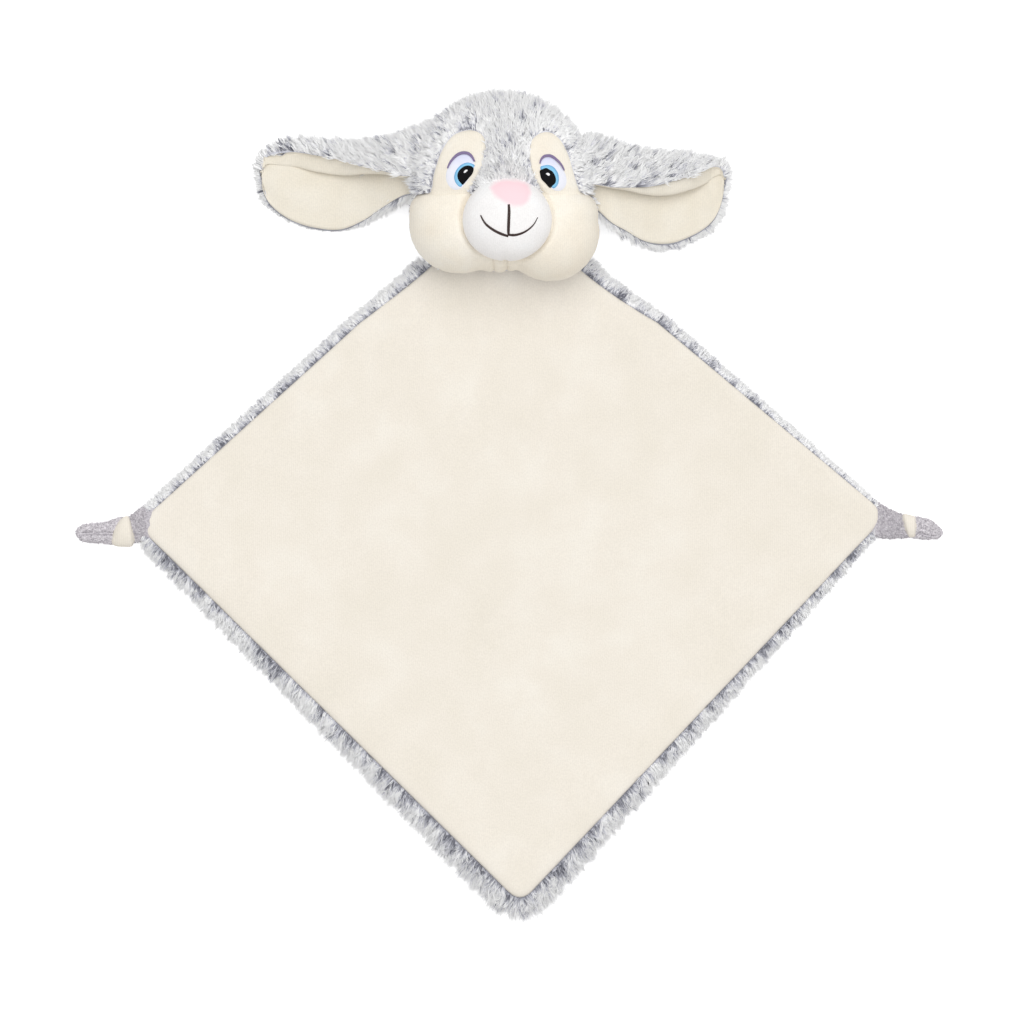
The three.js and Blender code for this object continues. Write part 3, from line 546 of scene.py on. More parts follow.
def tint(material, colour):
    """Draws a material towards a second colour by the piece's tint attribute."""
    tree = material.node_tree
    base = tree.nodes["Principled BSDF"].inputs["Base Color"]
    share = add_node(tree, "Attribute", attribute_name="tint")
    mixed = add_node(tree, "Mix", {0: share.outputs["Fac"], 6: base.links[0].from_socket, 7: linear(colour)},
                     data_type="RGBA")
    tree.links.new(mixed.outputs[2], base)
    return material


plush_material, tree, shader = new_material("short_grey_polyester_plush")
place = add_node(tree, "TexCoord").outputs["Object"]
# Short pile parts in specks and wrinkles of one or two millimetres, with darker roots between.
specks = add_node(tree, "TexNoise", {"Vector": place, "Scale": 1 / (1.1 * mm), "Detail": 2, "Roughness": 0.6,
                                     "Distortion": 0.4})
plush_colour = add_node(tree, "ValToRGB", {"Fac": specks.outputs["Fac"]})
colour_stops(plush_colour, [(0.34, "#b0abb2"), (0.5, "#ded9de"), (0.66, "#f5f2f5")])
dents = add_node(tree, "Bump", {"Height": specks.outputs["Fac"], "Strength": 0.3, "Distance": 0.6 * mm})
set_inputs(tree, shader, {"Base Color": plush_colour.outputs["Color"], "Normal": dents.outputs["Normal"],
                          "Roughness": 0.9, "IOR": 1.52, "Specular IOR Level": 0.2, "Sheen Weight": 0.3})
# The tint colour is a darker grey, used for painted shade in the loose ends' seam furrows and for the cones.
tint(plush_material, "#918c94")

# Sections along the left arm: distance out from the middle of the blanket, middle and half width across
# it, middle and half height, then the same for the right arm.
left_cone = [
    (226, -2.2, 11.5, 4.6, 4.0), (233, -2.3, 11.9, 4.8, 4.4), (238, -2.6, 11.4, 4.9, 4.6),
    (243, -4.2, 9.8, 4.8, 4.6), (246.5, -5.8, 8.8, 4.8, 4.5), (248.5, -6.6, 7.8, 4.8, 4.0),
]
left_band = [
    (246.6, -7.6, 7.2, 5.6, 4.6), (248.2, -7.5, 9.7, 6.6, 6.0), (251.6, -7.5, 9.9, 6.9, 6.4),
    (255, -8.2, 9.0, 6.6, 6.1), (257.8, -8.9, 7.2, 5.8, 5.0),
]
left_tip = [
    (252, -6.6, 8.0, 4.8, 3.4), (256.5, -6.9, 7.9, 4.8, 4.0), (260, -7.8, 7.2, 4.9, 4.4),
    (265, -8.5, 6.3, 4.7, 4.3), (273, -8.5, 5.9, 4.5, 4.1), (278.2, -8.5, 4.9, 4.2, 3.7),
    (281.2, -8.4, 3.0, 4.0, 2.6),
]
right_cone = [
    (226, 1.6, 11.5, 4.4, 3.4), (233, 0.4, 11.7, 4.5, 3.6), (238, -0.2, 11.0, 4.7, 4.1),
    (245, -2.3, 9.0, 4.8, 4.6), (252, -3.8, 7.4, 4.8, 4.5), (258.5, -4.6, 6.4, 4.8, 4.0),
]
right_band = [
    (255.2, -3.7, 6.4, 5.4, 4.4), (256.6, -3.7, 7.6, 6.0, 5.5), (259, -3.9, 7.4, 6.2, 5.7),
    (261.4, -4.2, 6.8, 6.0, 5.4), (262.6, -4.4, 5.6, 5.5, 4.6),
]
right_tip = [
    (259, -4.8, 6.0, 4.8, 4.0), (262, -5.0, 6.5, 4.9, 4.4), (266, -5.4, 6.5, 4.7, 4.3),
    (271, -6.4, 5.6, 4.5, 4.1), (275, -7.6, 4.2, 4.2, 3.5), (277.4, -8.4, 2.6, 3.8, 2.4),
]


def spline_at(rows, at):
    """Rows on a smooth run from the second of a few rows, where at is 0, to the last but one."""
    base = np.minimum(at.astype(int), len(rows) - 4)
    t = (at - base)[:, None]
    p0, p1, p2, p3 = (rows[base + i] for i in range(4))
    return 0.5 * (2 * p1 + (p2 - p0) * t + (2 * p0 - 5 * p1 + 4 * p2 - p3) * t ** 2
                  + (3 * p1 - p0 - 3 * p2 + p3) * t ** 3)


def spline(rows, count):
    """A smooth run through a few rows of values, as many rows as asked for."""
    rows = np.asarray(rows, float)
    padded = np.vstack([2 * rows[0] - rows[1], rows, 2 * rows[-1] - rows[-2]])
    return spline_at(padded, np.linspace(0, len(rows) - 1, count))


def face_outwards(piece):
    reshape(piece, lambda bm: bmesh.ops.recalc_face_normals(bm, faces=bm.faces))


def tube(name, way, sections, boxiness, around=88, along=40):
    """A closed tube along X through sections across it, rounded off at both ends."""
    turn = np.linspace(0, 2 * np.pi, around + 1)
    across = np.sign(np.cos(turn)) * np.abs(np.cos(turn)) ** boxiness
    up = np.sign(np.sin(turn)) * np.abs(np.sin(turn)) ** boxiness
    rows = []
    for out, y, half_width, z, half_height in spline(sections, along) * mm:
        rows.append(np.column_stack([np.full(around + 1, way * out), y + half_width * across,
                                     z + half_height * up]))
    ends = []
    for row, nudge in ((rows[0], -1), (rows[-1], 1)):
        middle = row[:-1].mean(axis=0)
        swell = [(row - middle) * share + middle + np.array([way * nudge * mm * out, 0, 0])
                 for share, out in ((0.8, 0.9), (0.4, 1.4), (0, 1.6))]
        ends.append(swell)
    rows = ends[0][::-1] + rows + ends[1]
    piece = loft(name, rows)
    face_outwards(piece)
    return piece


def wrinkle(piece, depth, size, seed, floor=0.4 * mm):
    """Small folds in the cloth, pushed along its normals."""
    def change(bm):
        for vert in bm.verts:
            vert.co += vert.normal * depth * ripple(vert.co, size, seed)
            vert.co.z = max(vert.co.z, floor)
    reshape(piece, change)


# Where the seam lies along the top of each loose end, as distance out and y.
tip_seams = {"left": [(250, -8.9), (285, -8.9)],
             "right": [(260.5, -9.8), (263.8, -8.1), (269, -10.4), (274, -11)]}
seam_lip = 1 * mm


def off_seam(side, places):
    """How far places lie from the lengthwise seam of a loose end."""
    out, y = np.array(tip_seams[side]).T * mm
    return places[:, 1] - np.interp(np.abs(places[:, 0]), out, y)


def draw_in_seam(piece, side, depth):
    """Draws in the lengthwise seam of a flattened tube: two furrows darkened with painted shade, with the
    joined edges between.
    """
    places = np.array([vert.co for vert in piece.data.vertices])
    off = np.abs(off_seam(side, places)) - seam_lip
    upward = np.clip([vert.normal.z for vert in piece.data.vertices], 0, 1)
    shade = np.exp(-(off / (0.6 * mm)) ** 2) * upward
    shade *= np.clip((np.abs(places[:, 0]).max() - np.abs(places[:, 0])) / (5 * mm), 0, 1)
    # The tint paints shade into the furrows, on the upward faces, fading towards the tube's end.
    set_attribute(piece, "tint", 0.75 * shade)

    def change(bm):
        for vert, share in zip(bm.verts, shade):
            vert.co.z -= depth * share
    reshape(piece, change)


def slant(piece, way, middle, near, far):
    """Leans the two ends of a tube, each by its own slope, about its middle in y."""
    def change(bm):
        low, high = (pick(abs(vert.co.x) for vert in bm.verts) for pick in (min, max))
        for vert in bm.verts:
            share = (abs(vert.co.x) - low) / (high - low)
            vert.co.x += way * (near * (1 - share) + far * share) * (vert.co.y - middle)
    reshape(piece, change)


def short_pile(piece, count, seed, way, bare, shade=0.0):
    """Short plush pile over a tube of cloth, brushed towards its free end and parted where it is bare."""
    rng = np.random.default_rng(seed)
    roots, normals = scatter(piece, count, rng, lambda m, n: ~bare(m, n))
    flow = np.tile([float(way), 0.0, 0.0], (count, 1))
    fur = grow_fur(piece.name + "_pile", roots, normals, flow, rng, length=plush_pile, width=0.5 * mm,
                   lean=0.6, tuft=8, stray=0.35)
    fur.data.materials[0] = plush_material
    set_attribute(fur, "tint", np.full(len(fur.data.vertices), shade))
    return fur


# How far the two ends of each band lean, near the blanket and away from it.
band_slopes = {"left": (0.2, -0.27), "right": (-0.34, 0.08)}

for side, way, cone, band, tip in (("left", -1, left_cone, left_band, left_tip),
                                   ("right", 1, right_cone, right_band, right_tip)):
    arm = f"{side}_arm"
    cone_piece = tube(f"{side}_arm_plush_cone", way, cone, boxiness=0.85)
    wrinkle(cone_piece, depth=0.7 * mm, size=5 * mm, seed=11)
    band_piece = tube(f"{side}_arm_velour_knot", way, band, boxiness=0.9)
    slant(band_piece, way, band[0][1] * mm, *band_slopes[side])
    wrinkle(band_piece, depth=0.2 * mm, size=6 * mm, seed=12)
    tip_piece = tube(f"{side}_arm_plush_tip", way, tip, boxiness=0.8)
    wrinkle(tip_piece, depth=0.6 * mm, size=4 * mm, seed=13)
    draw_in_seam(tip_piece, side, depth=1.3 * mm)
    # The cones are tinted a little darker than the loose ends, and their cloth darker still where the pile
    # is short, as painted shade like that among the pile.
    set_attribute(cone_piece, "tint", np.full(len(cone_piece.data.vertices), 0.45))

    cone_pile = short_pile(cone_piece, plush_strands, 21, way,
                           lambda m, n: np.abs(m[:, 0]) < panel_half_width - 6 * mm, shade=0.2)
    for piece in (cone_piece, cone_pile):
        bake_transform(piece)
    tip_pile = short_pile(tip_piece, plush_strands, 22, way,
                          lambda m, n: (n[:, 2] > 0) & (np.abs(off_seam(side, m)) < seam_lip + 0.2 * mm))
    for piece in (tip_piece, tip_pile):
        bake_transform(piece)
    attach(band_piece, arm)

    for piece, node in ((cone_piece, "root"), (tip_piece, "tip")):
        dress(piece, plush_material, f"{arm}_{node}")
    dress(band_piece, cream_velour, f"{arm}_knot")

# Head: a round crown of fur and two full velour cheeks, sewn together over one ball of polyester fibre.
# The form is swelled as cloth under pressure with its seam lines held, and then cut into its panels.
neck_axis_y = 162.8 * mm
face_x = -4.5 * mm
# The face's velour is the blanket's cream velour painted lighter, as painted light on the raised cheeks,
# chin and patches.
lit_face_velour = velour("cream_velour_of_the_face_painted_lighter", "#f8efdf", "#fbf4e6", "#fef9ef")
side_seam_z = 32 * mm
cheek_seam_y = 212.8 * mm
chin_seams_x = (-11.75 * mm, -3.25 * mm)
chin_seam_top = 184 * mm
cover_thickness = 1.6 * mm
cloth_grid = 2.7 * mm
seam_hold = 1.7 * mm
muzzle_place = (-3.2 * mm, 195.5 * mm)
muzzle_reach = (29 * mm, 27.7 * mm)

# Each swelling: middle x and y, the level where it is widest, half width, half length, rise and fall.
head_swells = [
    (-6.2, 219.3, 32, 54.4, 52, 35, 29),
    (-34, 192, 32, 33.2, 32.2, 34.5, 29),
    (-45, 200, 32, 22.3, 17.3, 30, 26),
    (24.8, 187, 32, 32.2, 32.4, 34.5, 29),
    (35.5, 199, 32, 21, 17, 30, 26),
    (-8.5, 187.3, 32, 28, 27.3, 31, 29),
    (-1.6, 177, 14, 46, 14, 14, 11),
]


def swelling(bm, x, y, z, half_width, half_length, rise, fall):
    """One rounded mass, fuller at the sides below its widest level, where it rests."""
    made = bmesh.ops.create_uvsphere(bm, u_segments=64, v_segments=40, radius=1)
    for vert in made["verts"]:
        angle = math.asin(max(-1, min(1, vert.co.z)))
        flat = Vector((vert.co.x, vert.co.y, 0))
        flat = flat.normalized() if flat.length > 1e-6 else flat
        power = 0.66 if angle < 0 else 1
        spread = math.cos(angle) ** power
        height = abs(math.sin(angle)) ** power
        vert.co = (x + half_width * flat.x * spread, y + half_length * flat.y * spread,
                   z + (rise * height if angle > 0 else -fall * height))


bm = bmesh.new()
for sizes in head_swells:
    swelling(bm, *(size * mm for size in sizes))
head_form = new_piece("head_form", bm)

remesh = head_form.modifiers.new("One cloth", "REMESH")
remesh.mode = "VOXEL"
remesh.voxel_size = cloth_grid
apply_modifiers(head_form)
reshape(head_form, lambda bm: bmesh.ops.smooth_vert(bm, verts=bm.verts, factor=0.5, use_axis_x=True,
                                                    use_axis_y=True, use_axis_z=True))


def seam_distance(place):
    """How far a place on the head lies from the nearest seam, apart from those round the eye patches."""
    x, y, z = place
    near = [abs(z - side_seam_z)]
    if z > side_seam_z:
        near.append(abs(y - cheek_seam_y))
        if y < chin_seam_top:
            near += [abs(x - seam) for seam in chin_seams_x]
    return min(near)


def fill_out(piece, held, pressure, limit, frames=20):
    """Stuffs a sewn form: the cloth between its seams swells under pressure, and the seams hold."""
    scene = bpy.context.scene
    seams = piece.vertex_groups.new(name="seams")
    seams.add([i for i, vert in enumerate(piece.data.vertices) if held(vert.co)], 1, "REPLACE")
    cloth = piece.modifiers.new("Filling", "CLOTH")
    cloth.settings.vertex_group_mass = "seams"
    cloth.settings.effector_weights.gravity = 0
    cloth.settings.use_pressure = True
    cloth.settings.uniform_pressure_force = pressure
    cloth.settings.quality = 5
    cloth.point_cache.frame_start = 1
    cloth.point_cache.frame_end = frames
    before = [vert.co.copy() for vert in piece.data.vertices]
    for step in range(1, frames + 1):
        scene.frame_set(step)
    graph = bpy.context.evaluated_depsgraph_get()
    swollen = [vert.co.copy() for vert in piece.evaluated_get(graph).data.vertices]
    piece.modifiers.clear()
    scene.frame_set(1)
    for vert, start, end in zip(piece.data.vertices, before, swollen):
        move = end - start
        if move.length > limit:
            move *= limit / move.length
        vert.co = start + move


fill_out(head_form, lambda place: seam_distance(place) < seam_hold, pressure=4, limit=4 * mm)


pile_below_head = 3 * mm


def rest_flat(bm):
    """The filled head lies on its pile, so its underside is flattened a little above the floor."""
    for vert in bm.verts:
        vert.co.z = max(vert.co.z, pile_below_head)


reshape(head_form, rest_flat)
subdivide = head_form.modifiers.new("Finer cloth", "SUBSURF")
subdivide.levels = subdivide.render_levels = 1
apply_modifiers(head_form)


# How deep each line of stitches is drawn in, the face round the muzzle, and the back behind the cheeks.
seam_groove = 1.5 * mm
muzzle_tuck = 4 * mm
back_inset = 3 * mm


def sew_head(bm):
    """Cuts the cloth along its seams and draws them in, with small puckers beside them."""
    cuts = [((0, 0, side_seam_z), (0, 0, 1)), ((0, cheek_seam_y, 0), (0, 1, 0))]
    cuts += [((seam, 0, 0), (1, 0, 0)) for seam in chin_seams_x]
    for point, across in cuts:
        geometry = bm.verts[:] + bm.edges[:] + bm.faces[:]
        bmesh.ops.bisect_plane(bm, geom=geometry, dist=0.05 * mm, plane_co=point, plane_no=across)
    bm.normal_update()
    for vert in bm.verts:
        near = seam_distance(vert.co)
        groove = seam_groove * math.exp(-(near / seam_groove) ** 2)
        pucker = 0.35 * mm * ripple(vert.co, 5 * mm, 31) * math.exp(-(near / (7 * mm)) ** 2)
        soft = 0.35 * mm * ripple(vert.co, 22 * mm, 32)
        x = (vert.co.x - muzzle_place[0]) / muzzle_reach[0]
        y = (vert.co.y - muzzle_place[1]) / muzzle_reach[1]
        beside = (math.hypot(x, y) - 1) * muzzle_reach[0] / (2 * mm)
        tuck = muzzle_tuck * math.exp(-beside ** 2) if vert.co.z > side_seam_z else 0
        vert.co += vert.normal * (pucker + soft - groove - tuck)
        # Behind the cheeks the back lies further in, so that its pile doesn't show round them.
        behind = min(1, max(0, (cheek_seam_y - vert.co.y) / (10 * mm)))
        below = min(1, max(0, (side_seam_z - vert.co.z) / (7 * mm)))
        inward = Vector((face_x - vert.co.x, neck_axis_y + 26 * mm - vert.co.y, 0))
        vert.co += inward.normalized() * back_inset * behind * below


reshape(head_form, sew_head)

# Eye patches: outlines of velour let into the crown, seen from above, in millimetres.
left_patch = [(-51.8, 211.6), (-51.8, 217), (-51, 223.5), (-48.8, 231.3), (-46.4, 238), (-41.8, 245.9),
              (-36.3, 250.9), (-28.1, 253.2), (-21.7, 251.8), (-17.6, 247.7), (-16.7, 242.2), (-18.1, 231.3),
              (-21.7, 222.2), (-27.2, 213.6), (-29.5, 211.4), (-40, 211.2)]
right_patch = [(21.8, 211.4), (16.5, 217.5), (12.4, 227.6), (11.2, 236.5), (12.2, 245), (15.4, 249.4),
               (21.1, 251.9), (26.6, 250.9), (32.1, 245.9), (36.7, 236.8), (39.4, 227.6), (42.1, 218.5),
               (43, 211.8), (32, 211.2)]


def closed_curve(points, count=72):
    """A smooth closed outline through a few points given in millimetres."""
    around = np.vstack([points[-1:], points, points[:2]]) * mm
    return spline_at(around, np.linspace(0, len(points), count, endpoint=False))


def within(outline, x, y):
    """Whether places seen from above lie inside an outline."""
    inside = np.zeros(np.shape(x), bool)
    for (x1, y1), (x2, y2) in zip(outline, np.roll(outline, -1, axis=0)):
        crosses = ((y1 > y) != (y2 > y)) & (x < (x2 - x1) * (y - y1) / (y2 - y1 + 1e-12) + x1)
        inside ^= crosses
    return inside


patch_outlines = {"left": closed_curve(left_patch), "right": closed_curve(right_patch)}


def cut_panel(name, node, keep, material):
    """One sewn panel of the head: the faces of the filled form that it covers."""
    bm = bmesh.new()
    bm.from_mesh(head_form.data)
    spare = [face for face in bm.faces if not keep(*face.calc_center_median())]
    bmesh.ops.delete(bm, geom=spare, context="FACES")
    piece = new_piece(name, bm)
    dress(piece, material, node)
    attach(piece, "head")
    return piece


def in_cheek(x, y, z):
    return z > side_seam_z and y < cheek_seam_y


def in_chin(x, y, z):
    return in_cheek(x, y, z) and chin_seams_x[0] < x < chin_seams_x[1] and y < chin_seam_top


def beside_chin(x, y, z):
    return in_cheek(x, y, z) and not in_chin(x, y, z)


head_back = cut_panel("head_back_fur", "head_back_panel",
                      lambda x, y, z: z < side_seam_z, fur_material)
crown = cut_panel("head_crown_fur", "head_crown_panel",
                  lambda x, y, z: z > side_seam_z and y > cheek_seam_y, fur_material)
chin_middle = sum(chin_seams_x) / 2
left_cheek = cut_panel("left_cheek_velour", "left_cheek",
                       lambda x, y, z: beside_chin(x, y, z) and x < chin_middle, lit_face_velour)
right_cheek = cut_panel("right_cheek_velour", "right_cheek",
                        lambda x, y, z: beside_chin(x, y, z) and x > chin_middle, lit_face_velour)
chin = cut_panel("chin_gusset_velour", "chin_gusset", in_chin, lit_face_velour)


def surface_of(piece):
    """A piece's surface as it is now, to lay other pieces on."""
    return BVHTree.FromPolygons([vert.co for vert in piece.data.vertices],
                                [polygon.vertices[:] for polygon in piece.data.polygons])


head_surface = surface_of(head_form)

# Fur over the crown and round the back of the head. It is brushed up and outwards from the face.
crown_strands = 18000
head_back_strands = 8000
crown_pile = 10.6 * mm
parting = np.array([face_x, 214 * mm, 40 * mm])
neck_seam_y = 164 * mm


def head_flow(roots):
    """The way the pile lies: up the brow, away from the face over the crown, and down behind the cheeks."""
    flow = roots - parting
    flow[:, 2] = -0.35 * np.abs(flow[:, 1])
    brow = np.clip(2 - np.abs(roots[:, 0] - face_x) / (14 * mm), 0, 1) * (roots[:, 2] > 45 * mm)
    flow = unit(flow) * (1 - brow[:, None]) + np.array([-0.3, 1, 0]) * brow[:, None]
    behind = np.clip((cheek_seam_y - roots[:, 1]) / (8 * mm), 0, 1)[:, None]
    return unit(flow * (1 - behind) + np.array([0, 0, -1]) * behind)


def head_pile(roots, normals):
    """Its length and tone: short round the eye patches and darker there with painted shade, and short behind
    the cheeks' edges.
    """
    near = np.min([np.linalg.norm(roots[:, None, :2] - outline[None], axis=2).min(axis=1)
                   for outline in patch_outlines.values()], axis=0)
    near = np.where(roots[:, 2] > side_seam_z, near, 1)
    length = crown_pile * np.clip(0.32 + near / (13 * mm), 0, 1)
    behind = np.clip((cheek_seam_y - roots[:, 1]) / (8 * mm), 0, 1)
    sideways = 1 - np.clip(-normals[:, 2], 0, 1) ** 2
    # The darker tone next to the patches is painted shade along their seams.
    return length * (1 - 0.75 * behind * sideways), 0.8 - 0.2 * np.exp(-(near / (1.2 * mm)) ** 2)


def clear_of_patches(middles, normals):
    """Off the patches, and above the line where the head is sewn to the blanket."""
    x, y, z = middles.T
    bare = within(patch_outlines["left"], x, y) | within(patch_outlines["right"], x, y)
    return ~(bare & (z > side_seam_z)) & (y > neck_seam_y)


for seed, (piece, count) in enumerate(((crown, crown_strands), (head_back, head_back_strands))):
    rng = np.random.default_rng(40 + seed)
    roots, normals = scatter(piece, count, rng, clear_of_patches)
    length, tone_level = head_pile(roots, normals)
    fur = grow_fur(piece.name + "_pile", roots, normals, head_flow(roots), rng, length=length,
                   width=0.85 * mm, lean=0.73, tuft=10, tone_level=tone_level)
    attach(fur, "head")
    set_tone(piece, 0.42)
for piece in (head_back, crown, left_cheek, right_cheek, chin):
    thicken(piece, cover_thickness)


above_head = 150 * mm


def on_head(x, y, lift=0.0, surface=head_surface):
    """The place on a surface under a point seen from above, lifted clear of it."""
    hit = surface.ray_cast(Vector((x, y, above_head)), Vector((0, 0, -1)))[0]
    if hit is None:
        hit = surface.find_nearest(Vector((x, y, side_seam_z)))[0]
    return np.array([x, y, hit.z + lift])


def layer(name, outline, heights, surface=head_surface, floor=-1.2 * mm):
    """A thin layer on a surface: rings from its outline to its middle, each at its own height."""
    middle = outline.mean(axis=0)
    rows = []
    for share, height in heights:
        ring = [on_head(*(middle + (point - middle) * share), height, surface) for point in outline]
        rows.append(ring + ring[:1])
    hub = on_head(*middle, heights[-1][1], surface)
    rows.append([hub] * (len(outline) + 1))
    under = [on_head(*point, floor, surface) for point in outline]
    low_hub = on_head(*middle, floor, surface)
    rows = [[low_hub] * (len(outline) + 1), under + under[:1]] + rows
    piece = loft(name, rows)
    face_outwards(piece)
    return piece


patch_heights = [(1, -0.6 * mm), (0.985, 0.2 * mm), (0.95, 0.9 * mm), (0.9, 1.3 * mm)]
patch_heights += [(share, 1.4 * mm) for share in np.linspace(0.82, 0.06, 18)]
for side, outline in patch_outlines.items():
    patch = layer(f"{side}_eye_patch_velour", outline, patch_heights)
    dress(patch, lit_face_velour, f"{side}_eye_patch")
    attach(patch, "head")

# Filling: loose white polyester fibre, packed to the shape of the covers.
fibre, tree, shader = new_material("polyester_fibre_filling")
place = add_node(tree, "TexCoord").outputs["Object"]
wisps = add_node(tree, "TexNoise", {"Vector": place, "Scale": 1 / (4 * mm), "Detail": 5, "Roughness": 0.65})
fibre_colour = add_node(tree, "ValToRGB", {"Fac": wisps.outputs["Fac"]})
colour_stops(fibre_colour, [(0.35, "#e8e8ea"), (0.65, "#fbfbfb")])
fluff = add_node(tree, "Bump", {"Height": wisps.outputs["Fac"], "Strength": 0.6, "Distance": 1.5 * mm})
set_inputs(tree, shader, {"Base Color": fibre_colour.outputs["Color"], "Normal": fluff.outputs["Normal"],
                          "Roughness": 1, "IOR": 1.52})


cover_gap = 1.2 * mm


def draw_in(bm):
    for vert in bm.verts:
        vert.co -= vert.normal * (cover_thickness + cover_gap)


def as_filling(piece, node):
    """Turns the form that the covers were cut from into what fills them."""
    reshape(piece, draw_in)
    dress(piece, fibre, node)
    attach(piece, "head")


head_form.name = "head_fibre_filling"
as_filling(head_form, "head_stuffing")

# Muzzle: an egg of white velour, sewn from one piece with a dart under the mouth, stuffed firmly and
# stitched round its back to the face. The nose is airbrushed on the velour in soft pink.
muzzle_middle = np.array([-3.2, 195.5, 64]) * mm
muzzle_half = np.array([28.9, 27.6, 23.6]) * mm
muzzle_fall = 32 * mm
muzzle_back_depth = 16 * mm
dart_x = -4.2 * mm
dart_half_width = 1.1 * mm
dart_depth = 1.3 * mm
nose_outline = [(-14, 215.8), (-9.9, 219.4), (-3.5, 220.5), (4.7, 219.9), (10.2, 218.1), (11.8, 213),
                (10.9, 207.6), (7.5, 204.4), (2.5, 203.6), (-1.7, 204.4), (-5.3, 206.2), (-9.9, 209.4),
                (-12.8, 213)]
nose_softness = 1.5 * mm

bm = bmesh.new()
bmesh.ops.create_uvsphere(bm, u_segments=112, v_segments=72, radius=1)
muzzle = new_piece("muzzle_white_velour", bm)


def shape_muzzle(bm):
    """An egg, a little wider low down, with the dart's nick under the mouth and slight unevenness."""
    for vert in bm.verts:
        x, y, z = vert.co
        spread = 1 + 0.03 * max(0, -y) - 0.05 * max(0, y)
        depth = z if z > 0 else z * muzzle_fall / muzzle_half[2]
        vert.co = Vector(muzzle_middle + muzzle_half * np.array([x * spread, y, depth]))
        dart = math.exp(-((vert.co.x - dart_x) / dart_half_width) ** 2) * max(0, -y - 0.72) / 0.28
        inward = Vector((-x, -y, -z))
        vert.co += inward * (dart_depth * dart) + inward * 0.35 * mm * ripple(vert.co, 16 * mm, 51)


reshape(muzzle, shape_muzzle)


def distance_to(outline, x, y):
    """Distance of a point from an outline, negative inside it."""
    ends = np.roll(outline, -1, axis=0)
    side = ends - outline
    along = np.clip(np.sum((np.array([x, y]) - outline) * side, axis=1) / np.sum(side ** 2, axis=1), 0, 1)
    gap = np.min(np.linalg.norm(outline + side * along[:, None] - np.array([x, y]), axis=1))
    return -gap if within(outline, x, y) else gap


nose = closed_curve(nose_outline)
pink = []
for vert in muzzle.data.vertices:
    x, y, z = vert.co
    gap = distance_to(nose, x, y) + 0.6 * mm * ripple(vert.co, 4 * mm, 52)
    pink.append(min(1, max(0, 0.5 - gap / (2 * nose_softness))) if z > muzzle_middle[2] else 0)
set_attribute(muzzle, "tint", pink)

white_velour = tint(velour("white_knitted_velour", "#fbf9f8", "#fefcfb", "#ffffff", 20 * mm), "#fddbe1")

muzzle_surface = surface_of(muzzle)
muzzle_filling = muzzle.copy()
muzzle_filling.data = muzzle.data.copy()
muzzle_filling.name = "muzzle_fibre_filling"
bpy.context.scene.collection.objects.link(muzzle_filling)
as_filling(muzzle_filling, "muzzle_stuffing")


def open_at_back(bm):
    """The cover ends where it is stitched to the face."""
    spare = [face for face in bm.faces if face.calc_center_median().z < muzzle_middle[2] - muzzle_back_depth]
    bmesh.ops.delete(bm, geom=spare, context="FACES")


reshape(muzzle, open_at_back)
thicken(muzzle, cover_thickness)
dress(muzzle, white_velour, "muzzle_cover")
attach(muzzle, "head")

# Mouth: three lines of dark brown satin stitch, thick where they meet and tapered at the smile's ends.
thread_rise = 0.45 * mm


def thread(name, colour, dark, roughness=0.45, angle=0.0, shine=0.4):
    """Rayon embroidery thread: stitches laid side by side, glossy along their length."""
    material, tree, shader = new_material(name)
    place = add_node(tree, "TexCoord").outputs["Object"]
    turned = add_node(tree, "Mapping", {"Vector": place, "Rotation": (0, 0, angle)})
    # Threads lie 0.45 mm apart. A wave repeats about 3.2 times in each of its units.
    lines = add_node(tree, "TexWave", {"Vector": turned.outputs["Vector"], "Scale": 1 / (0.45 * mm) / 3.2,
                                       "Distortion": 1.2, "Detail": 2, "Detail Scale": 2})
    colour_ramp = add_node(tree, "ValToRGB", {"Fac": lines.outputs["Fac"]})
    colour_stops(colour_ramp, [(0.1, dark), (0.6, colour)])
    ridges = add_node(tree, "Bump", {"Height": lines.outputs["Fac"], "Strength": 0.5,
                                     "Distance": 0.15 * mm})
    set_inputs(tree, shader, {"Base Color": colour_ramp.outputs["Color"], "Normal": ridges.outputs["Normal"],
                              "Roughness": roughness, "IOR": 1.53, "Specular IOR Level": shine})
    return material


def sewn_line(name, points, surface, around=10, along=44):
    """A stitched line on a surface through (x, y, width) rows in millimetres, tapered as they say."""
    rows = []
    path = spline(points, along) * mm
    run = np.gradient(path[:, :2], axis=0)
    side = unit(np.column_stack([-run[:, 1], run[:, 0]]))
    for (x, y, width), (side_x, side_y) in zip(path, side):
        ring = []
        for turn in np.linspace(0, 2 * np.pi, around + 1):
            across = width / 2 * math.cos(turn)
            rise = thread_rise * math.sin(turn) * min(1, width / (0.9 * mm))
            ring.append(on_head(x + side_x * across, y + side_y * across, rise + 0.05 * mm, surface))
        rows.append(ring)
    ends = [[np.mean(row[:-1], axis=0)] * (around + 1) for row in (rows[0], rows[-1])]
    rows = [ends[0], *rows, ends[1]]
    piece = loft(name, rows)
    face_outwards(piece)
    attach(piece, "head")
    return piece


brown_thread = thread("dark_brown_embroidery_thread", "#3b2620", "#2a1814", 0.5)
mouth_lines = {
    "mouth_philtrum": [(-2.1, 204.6, 1.5), (-1.9, 200, 1.9), (-2.1, 194, 2), (-2.3, 188, 1.9),
                       (-2.2, 184.8, 1.5)],
    "mouth_smile_left": [(-20.4, 197.6, 0.8), (-18.6, 194, 1.2), (-16.2, 191, 1.5), (-11.8, 187.8, 1.7),
                         (-7, 185.4, 1.8), (-2.4, 183.9, 1.5)],
    "mouth_smile_right": [(-2.4, 184.9, 1.4), (0.4, 184.6, 1.7), (3.3, 184.9, 1.6), (7.2, 186.2, 1.4),
                          (11, 188.5, 1.1), (14.3, 191.8, 0.8), (16.7, 196.2, 0.5)],
}
for node, points in mouth_lines.items():
    stitches = sewn_line(node + "_stitches", points, muzzle_surface)
    dress(stitches, brown_thread, node)

